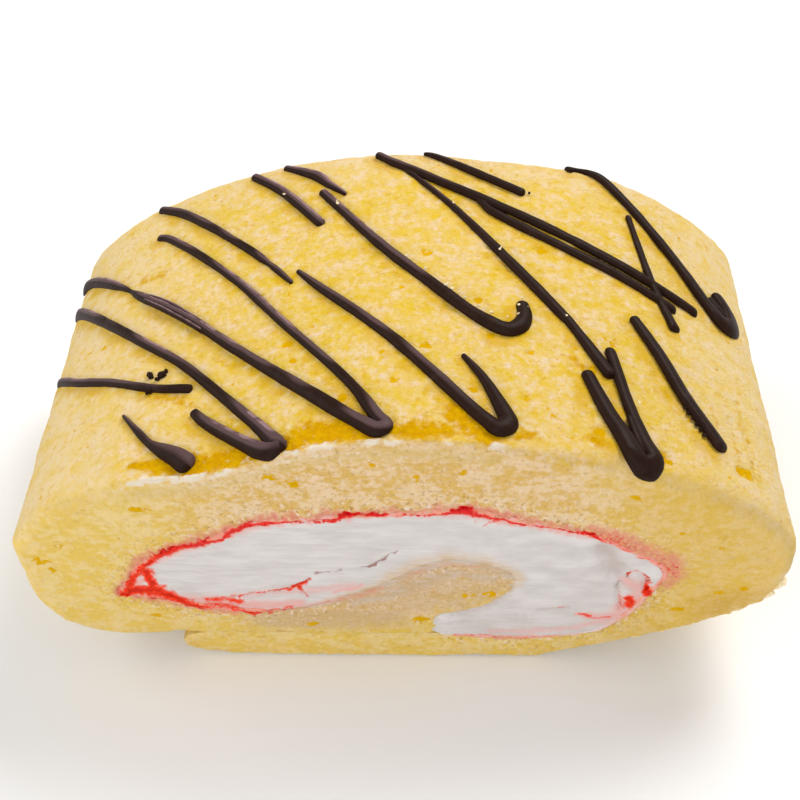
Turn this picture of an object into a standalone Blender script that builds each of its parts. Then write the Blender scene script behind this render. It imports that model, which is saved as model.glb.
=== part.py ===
"""A cut length of rolled sponge cake, lying as it is served.

One sheet of yellow sponge is rolled round whipped cream. A thin line of
strawberry jam lies between the two, and dark chocolate is drizzled over the
top. The roll's axis runs along Y with a cut face at each end, the front one
towards -Y, and the flat base lies on Z = 0.

The sections below are drawn in millimetres, as (x, z), and the meshes are
made in metres.
"""
import math

import bmesh
import bpy
import numpy as np

MM = 0.001

# The roll as a whole
WIDTH = 110.0
LENGTH = 62.9
HEIGHT = 48.7
WIDEST_Z = 25.0             # height at which the roll is widest
TOP_POWER_LEFT = 1.65       # roundness of the dome: 2 is an ellipse, 1 a ramp
TOP_POWER_RIGHT = 1.75

# Where the roll turns in under itself
LEFT_FOLD_X = -38.0         # end of the round lower left corner
LEFT_FOLD_Z = 4.8
LEFT_POWER = 3.7
RIGHT_FOOT_X = 20.0         # start of the underside that slopes up to the right
RIGHT_POWER = 2.6
RIGHT_SLOPE = 0.3

# The sagging front left shoulder
SAG_X = -25.5
SAG_DEPTH = 3.3
SAG_SPREADS = (8.5, 13.0)   # to its left and to its right

# The fuller right shoulder at the back
SWELL_X = 33.0
SWELL_HEIGHT = 2.2
SWELL_SPREAD = 14.0

# Shallow dips in the skin on top
DIP_DEPTH = 0.25
DIP_LENGTH_X = 9.0
DIP_LENGTH_Y = 11.0

# Start of the sheet, a thick tongue curled into the cream:
# skin side x and z, cream side x and z, and the jam on it
TONGUE = (
    (16.3, 19.2, 16.3, 19.6, 0.0),
    (15.4, 16.6, 15.0, 21.3, 0.0),
    (12.2, 13.4, 11.1, 23.3, 0.0),
    (9.4, 12.0, 7.0, 24.0, 0.0),
    (5.7, 10.4, 4.8, 23.5, 0.0),
    (4.9, 8.4, 2.7, 22.4, 0.0),
    (4.4, 6.3, -0.4, 20.0, 0.0),
    (-0.5, 6.1, -4.5, 17.1, 0.0),
    (-6.5, 6.1, -8.9, 15.1, 0.0),
    (-12.5, 6.1, -13.6, 12.8, 0.0),
    (-18.0, 6.1, -18.4, 11.8, 0.5),
    (-24.0, 6.1, -23.9, 11.5, 0.9),
    (-29.0, 6.1, -28.0, 12.2, 1.1),
    (-34.0, 6.2, -32.0, 13.2, 1.2),
)

# Round the left, over the top and down the right: the angle of the skin
# (0 right, 90 top, 180 left), cream side x and z, and the jam on it
WALL = (
    (270, -34.6, 14.3, 1.3),
    (250, -38.6, 14.9, 1.7),
    (222, -40.6, 16.4, 2.4),
    (190, -38.8, 19.4, 2.0),
    (160, -36.2, 23.0, 1.2),
    (140, -32.6, 25.5, 1.0),
    (124, -26.0, 28.4, 1.2),
    (115, -21.8, 31.2, 2.2),
    (104, -14.0, 32.7, 1.2),
    (90, -2.0, 33.8, 0.8),
    (77, 9.0, 34.7, 1.6),
    (70, 14.5, 33.1, 0.8),
    (57, 24.6, 30.2, 0.8),
    (40, 32.6, 25.8, 0.9),
    (20, 37.0, 23.0, 1.2),
    (2, 38.2, 20.3, 1.5),
    (-25, 36.2, 16.6, 1.0),
    (-50, 33.0, 11.6, 0.8),
    (-70, 28.4, 7.0, 0.8),
    (-90, 20.0, 5.2, 0.8),
)

# End of the sheet, tucked flat under the roll, in columns as the tongue
TAIL = (
    (14.0, 0.0, 14.0, 5.2, 0.7),
    (8.0, 0.0, 8.0, 5.3, 0.5),
    (3.0, 0.0, 3.0, 5.5, 0.0),
    (-6.0, 0.0, -6.0, 5.6, 0.0),
    (-16.0, 0.0, -16.0, 5.6, 0.0),
    (-24.0, 0.0, -24.0, 5.6, 0.0),
    (-30.0, 0.0, -30.5, 5.5, 0.0),
    (-32.9, 1.6, -33.3, 4.4, 0.0),
)

GAP = 0.3                   # clear space between two neighbours
JAM_EDGE = 0.45             # the jam ends where it is thinner than this
CREAM_END_X = 5.6           # of the layer below the tongue

# Chocolate drizzle: (x, y, width) along each stroke, seen from above
DRIZZLE = (
    ((-53.5, -1.5, 1.0), (-48.5, -6.0, 1.2), (-42.5, -10.0, 1.3), (-35.0, -14.0, 1.4),
     (-29.0, -15.5, 1.6)),
    ((-54.0, 17.0, 1.4), (-46.0, 5.0, 1.5), (-38.0, -4.0, 1.6), (-29.5, -12.5, 1.6), (-20.0, -24.0, 1.7),
     (-15.5, -30.0, 2.0)),
    ((-15.8, -30.2, 2.2), (-21.0, -27.5, 1.9), (-26.5, -22.5, 1.8), (-28.5, -20.0, 1.2)),
    ((-54.2, 24.0, 1.6), (-51.0, 19.5, 1.7), (-47.0, 15.5, 1.4), (-42.0, 9.5, 0.9), (-35.0, 2.5, 1.5),
     (-21.5, -11.5, 1.6), (-8.5, -24.5, 2.0), (-2.3, -29.8, 2.3)),
    ((-40.0, 22.0, 1.4), (-37.5, 20.0, 1.4), (-31.0, 12.0, 1.4), (-17.0, -6.5, 1.3), (-6.5, -20.0, 1.5),
     (-1.6, -29.6, 2.0)),
    ((-41.0, 30.0, 1.6), (-34.5, 24.0, 1.7), (-28.5, 17.5, 1.6), (-19.0, 6.0, 1.1), (-16.0, 2.0, 0.8)),
    ((-24.5, 30.3, 1.6), (-19.5, 24.5, 1.8), (-13.0, 15.0, 1.6)),
    ((-19.0, 30.3, 1.4), (-14.0, 27.0, 1.6), (-9.0, 21.5, 0.9)),
    ((-13.0, 22.5, 1.4), (-2.5, 7.0, 1.9), (7.5, -4.0, 2.2), (14.5, -9.3, 2.8)),
    ((13.5, -9.2, 2.6), (16.4, -7.6, 2.6), (17.0, -3.0, 2.0)),
    ((-4.5, 30.4, 1.6), (0.5, 27.0, 1.8), (15.5, 18.5, 2.0), (29.5, 11.5, 2.1), (44.0, 5.5, 2.2)),
    ((12.0, 19.6, 1.0), (15.0, 16.5, 1.5), (25.5, 10.5, 1.8), (40.0, 4.0, 1.7)),
    ((0.0, 27.0, 0.8), (7.5, 18.5, 1.1), (16.0, 5.5, 1.8), (24.5, -7.0, 1.9), (29.0, -14.5, 2.3)),
    ((3.5, 30.4, 1.4), (8.5, 28.0, 1.7), (18.5, 23.0, 1.7)),
    ((26.8, 30.2, 1.2), (29.5, 30.2, 1.6), (33.0, 27.6, 2.0), (42.0, 17.5, 2.3), (49.8, 6.0, 2.6)),
    ((50.2, 6.2, 2.6), (50.6, 9.0, 2.6), (49.6, 13.0, 2.0)),
    ((35.0, 22.5, 1.2), (37.0, 9.5, 2.0), (40.0, -1.5, 2.2)),
    ((33.5, -2.0, 2.2), (36.5, -8.0, 2.6), (39.5, -15.5, 2.8), (43.5, -22.5, 2.6)),
    ((25.5, -16.0, 2.0), (27.5, -22.0, 2.3), (31.5, -29.4, 2.8)),
    ((29.0, -10.0, 1.8), (31.0, -20.5, 1.9), (33.0, -29.2, 2.8)),
    ((-38.5, -18.5, 0.8), (-35.5, -22.5, 1.2), (-32.0, -26.5, 2.0), (-28.0, -29.8, 2.8)),
    ((-15.5, 4.5, 0.8), (-11.5, -0.5, 1.4), (-1.5, -12.0, 1.9), (9.0, -24.5, 2.2), (13.0, -29.6, 2.6)),
    ((13.2, -29.4, 2.6), (14.3, -26.0, 2.1), (11.0, -19.0, 1.7), (8.5, -15.5, 1.1)),
)
DRIZZLE_SPACING = 2.6       # between two rings of a stroke
DRIZZLE_SIDES = 8
DRIZZLE_TIP = 0.45          # width at the very ends, as a share of the width there
DRIZZLE_RISE = 0.42         # height above the skin, as a share of the width
DRIZZLE_ROOT = 0.6          # depth below the skin

STATIONS_ALONG = 13         # sections from the front cut face to the back one

COLOURS = {
    "sponge": (0.80, 0.55, 0.17),
    "cream": (0.86, 0.84, 0.79),
    "jam": (0.62, 0.09, 0.06),
}
ROUGHNESS = {"sponge": 0.85, "cream": 0.45, "jam": 0.3}


def clear_scene():
    """Remove whatever the file opened with."""
    for item in list(bpy.data.objects):
        bpy.data.objects.remove(item)


def spline(points, steps):
    """Pass a smooth curve through the points, with a number of steps between each two."""
    rows = np.array(points, dtype=float)
    ends = np.vstack([2 * rows[0] - rows[1], rows, 2 * rows[-1] - rows[-2]])
    curve = []
    for index in range(1, len(ends) - 2):
        before, start, end, after = ends[index - 1:index + 3]
        for step in range(steps):
            t = step / steps
            curve.append(0.5 * (2 * start + (end - before) * t
                                + (2 * before - 5 * start + 4 * end - after) * t ** 2
                                + (3 * start - before - 3 * end + after) * t ** 3))
    curve.append(rows[-1])
    return np.array(curve)


def rounded(angle, centre, reach, power):
    """Point on one quarter of a superellipse, at an angle in degrees."""
    across = math.cos(math.radians(angle))
    up = math.sin(math.radians(angle))
    x = centre[0] + reach[0] * math.copysign(abs(across) ** (2 / power), across)
    z = centre[1] + reach[1] * math.copysign(abs(up) ** (2 / power), up)
    return np.array([x, z])


def skin_point(angle):
    """Point of the roll's outline at an angle from the right, over the top."""
    half = WIDTH / 2
    if 0 <= angle <= 180:
        power = TOP_POWER_RIGHT if angle < 90 else TOP_POWER_LEFT
        return rounded(angle, (0.0, WIDEST_Z), (half, HEIGHT - WIDEST_Z), power)
    if angle > 180:
        reach = (half + LEFT_FOLD_X, WIDEST_Z - LEFT_FOLD_Z)
        return rounded(angle, (LEFT_FOLD_X, WIDEST_Z), reach, LEFT_POWER)
    x, z = rounded(angle, (RIGHT_FOOT_X, WIDEST_Z), (half - RIGHT_FOOT_X, WIDEST_Z), RIGHT_POWER)
    below = (WIDEST_Z - z) / WIDEST_Z
    return np.array([x, z + RIGHT_SLOPE * (x - RIGHT_FOOT_X) * below ** 2])


def sheet_stations():
    """Skin side, cream side and jam depth along the sheet, and the rows of its three stretches."""
    tongue = spline(TONGUE, 2)
    wall = spline(WALL, 3)
    tail = np.array(TAIL)
    wall_skin = np.array([skin_point(angle) for angle in wall[:, 0]])
    skin = np.vstack([tongue[:, :2], wall_skin, tail[:, :2]])
    inner = np.vstack([tongue[:, 2:4], wall[:, 1:3], tail[:, 2:4]])
    jam = np.concatenate([tongue[:, 4], wall[:, 3], tail[:, 4]])
    stretch = np.repeat(["tongue", "wall", "tail"], [len(tongue), len(wall), len(tail)])
    return skin, inner, np.where(jam < JAM_EDGE, 0.0, jam), stretch


def left_normals(curve):
    """Unit normals to the left of the direction in which a curve runs."""
    run = np.gradient(curve, axis=0)
    normals = np.stack([-run[:, 1], run[:, 0]], axis=1)
    return normals / np.linalg.norm(normals, axis=1)[:, None]


def lift(x, y):
    """How far the skin on top stands off the plain outline at a place, in millimetres."""
    front_share = 0.5 - y / LENGTH
    spread = SAG_SPREADS[0] if x < SAG_X else SAG_SPREADS[1]
    sag = SAG_DEPTH * math.exp(-((x - SAG_X) / spread) ** 2) * front_share ** 2
    swell = SWELL_HEIGHT * math.exp(-((x - SWELL_X) / SWELL_SPREAD) ** 2) * (1.0 - front_share)
    dips = DIP_DEPTH * math.sin(x / DIP_LENGTH_X) * math.cos(y / DIP_LENGTH_Y + x / WIDTH)
    return dips + swell - sag


def top_height(x, y):
    """Height of the skin on top at a place seen from above."""
    power = TOP_POWER_RIGHT if x > 0 else TOP_POWER_LEFT
    share = min(abs(x) * 2 / WIDTH, 1.0) ** power
    rise = (HEIGHT - WIDEST_Z) * (1.0 - share) ** (1.0 / power)
    return WIDEST_Z + rise + lift(x, y) * rise / (HEIGHT - WIDEST_Z)


def new_object(name, mesh):
    """Make an object of a mesh, with a material of its own."""
    item = bpy.data.objects.new(name, mesh)
    bpy.context.scene.collection.objects.link(item)
    material = bpy.data.materials.new(name)
    material.use_nodes = True
    shader = material.node_tree.nodes["Principled BSDF"]
    shader.inputs["Base Color"].default_value = (*COLOURS[name], 1.0)
    shader.inputs["Roughness"].default_value = ROUGHNESS[name]
    mesh.materials.append(material)
    return item


def mesh_of(name, points, faces):
    """Make a mesh in metres from points in millimetres, with its faces pointing out."""
    mesh = bpy.data.meshes.new(name)
    mesh.from_pydata([tuple(float(value) * MM for value in point) for point in points], [], faces)
    shape = bmesh.new()
    shape.from_mesh(mesh)
    bmesh.ops.recalc_face_normals(shape, faces=shape.faces)
    shape.to_mesh(mesh)
    shape.free()
    return mesh


def sponge_mesh(skin, inner):
    """Sheet of sponge: sagging skin outside, straight walls towards the cream."""
    places = np.linspace(-LENGTH / 2, LENGTH / 2, STATIONS_ALONG)
    count = len(skin)
    points = []
    for y in places:
        for x, z in skin:
            weight = max(z - WIDEST_Z, 0.0) / (HEIGHT - WIDEST_Z)
            on_top = weight if top_height(x, y) - z < 4.0 else 0.0
            points.append((x, y, z + lift(x, y) * on_top))
    first_inner = len(points)
    for y in (places[0], places[-1]):
        points += [(x, y, z) for x, z in inner]
    faces = []
    for row in range(len(places) - 1):
        for index in range(count - 1):
            corner = row * count + index
            faces.append((corner, corner + 1, corner + count + 1, corner + count))
    last_row = (len(places) - 1) * count
    for index in range(count - 1):
        near = first_inner + index
        far = near + count
        faces.append((near, near + 1, far + 1, far))
        faces.append((index, index + 1, near + 1, near))
        faces.append((last_row + index, last_row + index + 1, far + 1, far))
    for index in (0, count - 1):
        edge = [row * count + index for row in range(len(places))]
        faces.append((*edge, first_inner + count + index, first_inner + index))
    return mesh_of("sponge", points, faces)


def extruded_mesh(name, outline):
    """Straight length of a filling, from an outline that closes on itself."""
    count = len(outline)
    points = [(x, -LENGTH / 2, z) for x, z in outline] + [(x, LENGTH / 2, z) for x, z in outline]
    faces = [tuple(range(count)), tuple(range(count, 2 * count))]
    for index in range(count):
        after = (index + 1) % count
        faces.append((index, after, after + count, index + count))
    return mesh_of(name, points, faces)


def filling_outlines(skin, inner, jam, stretch):
    """Outlines of the jam line, and of the cream that it and the sponge enclose."""
    away = inner - skin
    away /= np.linalg.norm(away, axis=1)[:, None]
    away[stretch == "tongue"] = -left_normals(inner[stretch == "tongue"])
    outside = inner + away * GAP
    inside = outside + away * jam[:, None]
    jammed = jam > 0
    jam_outline = np.vstack([outside[jammed], inside[jammed][::-1]])
    edge = inside + away * np.where(jammed, GAP, 0.0)[:, None]
    cream = edge[(stretch != "tail") | (inner[:, 0] > CREAM_END_X)]
    below = (stretch == "tongue") & (skin[:, 1] > cream[-1, 1] + GAP)
    underside = skin[below] + left_normals(skin[below]) * GAP
    return jam_outline, np.vstack([cream, underside[::-1]])


def stroke_line(points):
    """Places, widths and directions of the rings along a stroke, narrow at both ends."""
    rows = spline(points, 12)
    reach = np.concatenate([[0.0], np.cumsum(np.linalg.norm(np.diff(rows[:, :2], axis=0), axis=1))])
    nose = (rows[0, 2] / 2, rows[-1, 2] / 2)
    rings = max(int(round(reach[-1] / DRIZZLE_SPACING)), 2)
    at = np.linspace(nose[0], reach[-1] - nose[1], rings)
    at = np.concatenate([[0.0], at, [reach[-1]]])
    line = np.stack([np.interp(at, reach, rows[:, axis]) for axis in range(3)], axis=1)
    line[[0, -1], 2] *= DRIZZLE_TIP
    run = np.gradient(line[:, :2], axis=0)
    return line, run / np.linalg.norm(run, axis=1)[:, None]


def stroke_mesh(points):
    """One closed stroke of chocolate, rooted in the skin."""
    line, run = stroke_line(points)
    verts = []
    for (x, y, width), (along_x, along_y) in zip(line, run):
        for side in range(DRIZZLE_SIDES):
            turn = 2 * math.pi * side / DRIZZLE_SIDES
            across = math.cos(turn) * width / 2
            px = x - along_y * across
            py = float(np.clip(y + along_x * across, GAP - LENGTH / 2, LENGTH / 2 - GAP))
            height = math.sin(turn) * (width * DRIZZLE_RISE if turn < math.pi else DRIZZLE_ROOT)
            verts.append((px, py, top_height(px, py) + height))
    faces = [tuple(range(DRIZZLE_SIDES)), tuple(range(len(verts) - DRIZZLE_SIDES, len(verts)))]
    for ring in range(0, len(verts) - DRIZZLE_SIDES, DRIZZLE_SIDES):
        for side in range(DRIZZLE_SIDES):
            near = ring + side
            after = ring + (side + 1) % DRIZZLE_SIDES
            faces.append((near, after, after + DRIZZLE_SIDES, near + DRIZZLE_SIDES))
    return mesh_of("stroke", verts, faces)


def fuse_drizzle(sponge):
    """Join the strokes to the sponge in one union, and leave no helper behind."""
    strokes = bpy.data.collections.new("strokes")
    bpy.context.scene.collection.children.link(strokes)
    for points in DRIZZLE:
        strokes.objects.link(bpy.data.objects.new("stroke", stroke_mesh(points)))
    union = sponge.modifiers.new("drizzle", "BOOLEAN")
    union.operation = "UNION"
    union.operand_type = "COLLECTION"
    union.collection = strokes
    seen = sponge.evaluated_get(bpy.context.evaluated_depsgraph_get())
    joined = bpy.data.meshes.new_from_object(seen)
    sponge.modifiers.remove(union)
    sponge.data = joined
    for item in list(strokes.objects):
        bpy.data.objects.remove(item)
    bpy.data.collections.remove(strokes)


def main():
    """Build the cake's pieces."""
    clear_scene()
    skin, inner, jam_depth, stretch = sheet_stations()
    jam, cream = filling_outlines(skin, inner, jam_depth, stretch)
    sponge = new_object("sponge", sponge_mesh(skin, inner))
    fuse_drizzle(sponge)
    new_object("cream", extruded_mesh("cream", cream))
    new_object("jam", extruded_mesh("jam", jam))


main()
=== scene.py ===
import math

import bmesh
import bpy
import numpy as np
from mathutils import Matrix, Vector


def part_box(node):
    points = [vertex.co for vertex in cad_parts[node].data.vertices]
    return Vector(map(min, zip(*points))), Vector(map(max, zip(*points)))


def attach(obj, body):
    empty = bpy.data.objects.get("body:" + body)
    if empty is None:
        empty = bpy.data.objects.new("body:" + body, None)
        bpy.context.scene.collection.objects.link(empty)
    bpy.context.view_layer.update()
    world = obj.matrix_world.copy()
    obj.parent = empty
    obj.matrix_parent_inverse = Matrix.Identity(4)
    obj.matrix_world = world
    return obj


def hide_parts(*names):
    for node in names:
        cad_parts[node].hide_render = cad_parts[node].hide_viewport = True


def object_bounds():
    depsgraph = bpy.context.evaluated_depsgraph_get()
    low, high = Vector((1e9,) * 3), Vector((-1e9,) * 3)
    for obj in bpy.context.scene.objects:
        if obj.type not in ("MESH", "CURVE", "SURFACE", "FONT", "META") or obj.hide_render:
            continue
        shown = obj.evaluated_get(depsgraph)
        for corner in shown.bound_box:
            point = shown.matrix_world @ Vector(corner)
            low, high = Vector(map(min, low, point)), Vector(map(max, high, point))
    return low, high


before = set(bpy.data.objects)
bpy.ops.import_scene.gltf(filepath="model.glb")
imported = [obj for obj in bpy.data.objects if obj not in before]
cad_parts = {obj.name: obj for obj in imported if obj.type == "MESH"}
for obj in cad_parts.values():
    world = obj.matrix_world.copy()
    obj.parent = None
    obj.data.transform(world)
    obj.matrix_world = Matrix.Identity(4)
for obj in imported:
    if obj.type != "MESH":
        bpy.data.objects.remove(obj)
cad_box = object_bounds()

# A cut length of rolled sponge cake, lying as it is served. One sheet of yellow
# sponge is rolled round whipped cream, with a thin line of strawberry jam
# between the two, and dark chocolate is drizzled over the top.
#
# Everything below is in millimetres, with sections drawn as (x, z), until a
# mesh is made in metres.
MM = 0.001

# The roll as a whole, its length read from the cream in model.glb
LENGTH = (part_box("cream")[1][1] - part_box("cream")[0][1]) / MM
HALF = LENGTH / 2
WIDTH = 110.0
HEIGHT = 48.7
WIDEST_Z = 25.0             # height at which the roll is widest
TOP_POWER_LEFT = 1.65       # roundness of the dome: 2 is an ellipse, 1 a ramp
TOP_POWER_RIGHT = 1.75

# Where the roll turns in under itself
LEFT_FOLD_X = -38.0
LEFT_FOLD_Z = 4.8
LEFT_POWER = 3.7
RIGHT_FOOT_X = 20.0
RIGHT_POWER = 2.6
RIGHT_SLOPE = 0.3

# The sagging front left shoulder, the fuller right one at the back, and
# shallow dips in the skin
SAG_X = -25.5
SAG_DEPTH = 3.3
SAG_SPREADS = (8.5, 13.0)   # to its left and to its right
SWELL_X = 33.0
SWELL_HEIGHT = 2.2
SWELL_SPREAD = 14.0
DIP_DEPTH = 0.25
DIP_LENGTH_X = 9.0
DIP_LENGTH_Y = 11.0

# Start of the sheet, a tongue curled into the cream: skin side x and z, cream
# side x and z, width of the jam line, of its stain in the crumb, and the
# radius of the cut edge
TONGUE = (
    (16.3, 19.2, 16.3, 19.6, 0.0, 0.0, 0.2),
    (15.4, 16.6, 15.0, 21.3, 0.0, 0.0, 0.2),
    (12.2, 13.4, 11.1, 23.3, 0.0, 0.0, 0.2),
    (9.4, 12.0, 7.0, 24.0, 0.0, 0.0, 0.2),
    (5.7, 10.4, 4.8, 23.5, 0.0, 0.0, 0.2),
    (4.9, 8.4, 2.7, 22.4, 0.0, 0.0, 0.2),
    (4.4, 6.2, -0.4, 20.0, 0.0, 0.0, 0.2),
    (-0.5, 5.9, -4.5, 17.1, 0.0, 0.0, 0.1),
    (-6.5, 5.8, -8.9, 15.1, 0.0, 0.0, 0.1),
    (-12.5, 5.8, -13.6, 12.8, 0.0, 0.0, 0.1),
    (-18.0, 5.8, -18.4, 11.8, 0.5, 0.4, 0.1),
    (-24.0, 5.8, -23.9, 11.5, 0.9, 1.3, 0.1),
    (-29.0, 5.8, -28.0, 12.2, 1.1, 1.4, 0.2),
    (-34.0, 6.0, -32.0, 13.2, 1.2, 1.5, 0.6),
)

# Round the left, over the top and down the right: the angle of the skin
# (0 right, 90 top, 180 left), then as above from the cream side on
WALL = (
    (270, -34.6, 14.3, 1.3, 1.1, 1.2),
    (250, -38.6, 14.9, 1.6, 1.6, 2.2),
    (222, -40.6, 16.4, 2.0, 2.0, 3.0),
    (190, -38.8, 19.4, 1.6, 1.7, 3.0),
    (160, -36.2, 23.0, 1.1, 2.0, 2.6),
    (140, -32.6, 25.5, 1.0, 2.1, 1.6),
    (124, -26.0, 28.4, 1.0, 2.4, 0.9),
    (115, -21.8, 31.2, 1.2, 2.6, 0.8),
    (104, -14.0, 32.7, 0.7, 2.4, 0.8),
    (90, -2.0, 33.8, 0.6, 2.2, 0.8),
    (77, 9.0, 34.7, 1.3, 1.9, 1.2),
    (70, 14.5, 33.1, 0.8, 1.4, 1.8),
    (57, 24.6, 30.2, 0.6, 1.5, 2.6),
    (40, 32.6, 25.8, 0.7, 2.0, 3.0),
    (20, 36.3, 23.0, 0.9, 2.6, 3.0),
    (2, 37.2, 20.4, 1.0, 2.3, 2.6),
    (-25, 35.6, 16.8, 0.9, 0.7, 1.6),
    (-50, 33.0, 11.6, 0.8, 0.4, 1.2),
    (-70, 28.4, 7.0, 0.8, 0.4, 1.0),
    (-90, 20.0, 5.2, 0.8, 0.5, 0.6),
)

# End of the sheet, tucked flat under the roll, in columns as the tongue
TAIL = (
    (14.0, 0.0, 14.0, 5.3, 0.7, 0.8, 0.4),
    (8.0, 0.0, 8.0, 5.6, 0.5, 0.5, 0.4),
    (3.0, 0.0, 3.0, 6.1, 0.0, 0.0, 0.4),
    (-25.6, 0.0, -26.2, 6.1, 0.0, 0.0, 0.5),
    (-29.2, 0.1, -30.2, 5.9, 0.0, 0.0, 0.9),
    (-31.8, 0.9, -32.5, 5.1, 0.0, 0.0, 1.2),
    (-32.9, 2.2, -33.3, 3.9, 0.0, 0.0, 1.2),
)
TAIL_TOP = 6.3              # the tongue lies on the tail below this height
JAM_EDGE = 0.45             # the jam ends where it is thinner than this
JAM_SHARE = 0.6             # share of the jam's width that lies in the line itself
JAM_OVERLAP = (0.35, 0.2)   # how far the line reaches over the sponge and over the cream
CREAM_END_X = 5.6           # of the layer below the tongue
NOTCH_Z = 6.5               # of the corner where the cream meets the tongue
TUCK = 0.45                 # how far the cream reaches in behind the tongue

# Chocolate drizzle: (x, y, width) along each stroke, seen from above
DRIZZLE = (
    ((-53.2, -1.5, 1.0), (-48.5, -6.0, 1.2), (-42.5, -9.9, 1.3), (-35.0, -14.2, 1.3),
     (-29.3, -15.6, 1.4)),
    ((-53.8, 15.1, 1.4), (-46.0, 5.2, 1.4), (-38.0, -3.8, 1.4), (-29.3, -12.3, 1.4),
     (-19.9, -23.3, 1.6), (-16.4, -28.0, 2.2), (-15.6, -29.7, 2.5), (-17.3, -29.8, 2.4),
     (-20.9, -26.9, 2.0), (-26.0, -22.4, 1.6), (-27.9, -20.3, 1.3)),
    ((-53.9, 22.0, 1.5), (-51.0, 19.4, 1.5), (-47.0, 15.1, 1.4), (-44.1, 12.0, 0.9),
     (-42.7, 10.4, 0.5), (-41.3, 8.7, 1.1), (-38.9, 6.1, 1.5), (-31.1, -1.4, 1.6),
     (-21.5, -11.3, 1.6), (-8.6, -24.4, 2.1), (-3.7, -28.7, 2.4), (-2.4, -29.4, 2.4),
     (-1.5, -28.6, 2.4), (-2.8, -26.6, 2.0), (-6.8, -19.8, 1.4), (-16.7, -6.1, 1.3),
     (-23.7, 3.7, 1.3), (-30.9, 12.4, 1.2), (-37.5, 20.0, 1.2), (-39.6, 21.7, 1.2)),
    ((-40.6, 29.8, 1.3), (-36.4, 26.2, 1.5), (-31.0, 20.2, 1.4), (-26.5, 15.0, 1.2),
     (-23.2, 11.3, 1.2), (-21.3, 9.0, 1.2), (-20.0, 7.4, 0.8), (-18.7, 5.7, 1.0), (-16.2, 2.3, 0.6)),
    ((-24.5, 30.0, 1.5), (-19.3, 24.2, 1.5), (-12.7, 14.8, 1.5)),
    ((-19.3, 30.4, 1.1), (-14.2, 26.8, 1.7), (-12.0, 24.1, 1.5), (-9.3, 21.3, 0.7)),
    ((-12.8, 22.2, 1.3), (-2.4, 6.9, 1.7), (7.4, -4.3, 2.0), (12.0, -8.4, 2.3), (14.8, -9.6, 2.5),
     (16.6, -8.5, 2.5), (17.3, -6.4, 2.2), (17.1, -4.4, 1.9)),
    ((-4.3, 30.4, 1.4), (0.5, 26.7, 1.6), (15.4, 17.8, 1.75), (29.3, 9.95, 1.7), (43.5, 4.6, 1.7)),
    ((11.5, 19.4, 1.0), (14.6, 15.8, 1.5), (25.3, 9.2, 1.6), (39.9, 2.9, 1.5)),
    ((-0.4, 27.0, 0.8), (6.8, 18.2, 1.1), (15.4, 5.4, 1.7), (22.8, -5.3, 1.7), (23.5, -6.1, 1.5),
     (28.5, -15.0, 2.2)),
    ((3.2, 31.2, 1.0), (8.5, 28.2, 1.4), (18.1, 22.5, 1.5)),
    ((26.0, 30.0, 1.6), (27.0, 30.6, 1.5), (29.4, 30.2, 1.6), (32.7, 27.3, 1.8), (40.9, 16.4, 2.0),
     (45.4, 9.4, 2.3), (46.9, 7.3, 2.6), (48.0, 6.0, 2.9), (49.1, 5.5, 3.0), (50.1, 6.5, 3.1),
     (50.1, 8.2, 3.1), (49.4, 9.9, 3.0), (48.7, 11.2, 2.9)),
    ((47.4, 9.8, 1.8), (48.3, 8.3, 2.2), (49.2, 6.9, 2.2)),
    ((34.9, 21.0, 1.0), (36.8, 8.9, 1.3), (38.2, 3.4, 1.4), (39.6, -1.3, 1.8)),
    ((33.5, -2.8, 1.9), (36.5, -8.6, 2.2), (39.5, -15.8, 2.4), (43.4, -22.3, 2.4)),
    ((25.5, -16.3, 2.0), (27.6, -22.2, 2.4), (29.7, -26.7, 3.0), (30.8, -29.4, 3.0),
     (32.2, -30.2, 2.9), (33.3, -29.0, 2.7), (32.2, -26.0, 2.2), (30.8, -20.5, 1.9),
     (29.1, -10.8, 1.7)),
    ((-38.5, -18.2, 0.4), (-35.6, -22.2, 1.0), (-33.5, -24.8, 1.2), (-31.4, -26.4, 2.3),
     (-29.4, -27.7, 3.0), (-28.0, -28.9, 3.1)),
    ((-15.3, 4.4, 0.7), (-11.4, -0.4, 1.3), (-1.4, -11.8, 1.8), (8.5, -23.7, 2.0),
     (11.8, -27.2, 2.4), (13.0, -28.1, 2.8), (14.2, -27.2, 2.9), (13.9, -25.3, 2.4),
     (11.2, -19.2, 1.4), (8.7, -15.5, 0.8)),
)
# Thin ridges and a nub on top of strokes
RIDGES = (
    ((-38.7, 6.5, 0.4), (-34.8, 2.9, 0.6), (-28.6, -3.4, 0.5)),
    ((-39.5, 5.9, 0.4), (-35.5, 1.8, 0.6), (-29.2, -4.4, 0.5)),
    ((-16.0, -29.0, 1.6), (-14.6, -29.9, 1.3)),
    ((30.6, -23.0, 1.0), (31.4, -27.0, 1.2), (32.0, -28.6, 0.5)),
)
RIDGE_BASE = 0.45           # height of a ridge's foot above the skin
DRIZZLE_RISE = 0.39         # height above the skin, as a share of the width
DRIZZLE_ROOT = 0.7          # depth below the skin
DRIZZLE_STEP = 0.32         # between two rings of a stroke
DRIZZLE_SIDES = 24
DRIZZLE_OVERRUN = 0.35      # how far a stroke ends past its last point, as a share of the width
DRIZZLE_INSET = 0.05        # least distance from a cut face
DRIZZLE_NOSE = 0.4          # length of the rounded end, as a share of the width
NOSE_RINGS = (0.03, 0.12, 0.3, 0.6)     # extra rings on it, as shares of its length
NOSE_POWER = 2.5            # its roundness: 2 is an ellipse
NOSE_TIP = 0.06             # width at its very end, as a share of the width
DRIZZLE_STEEPEST = 1.8      # most that a slope may add to the height
PAINTED_SHEEN_SIDE = (0.45, 0.45, 0.77)     # the way towards the key light, for the painted sheen on the chocolate
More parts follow.
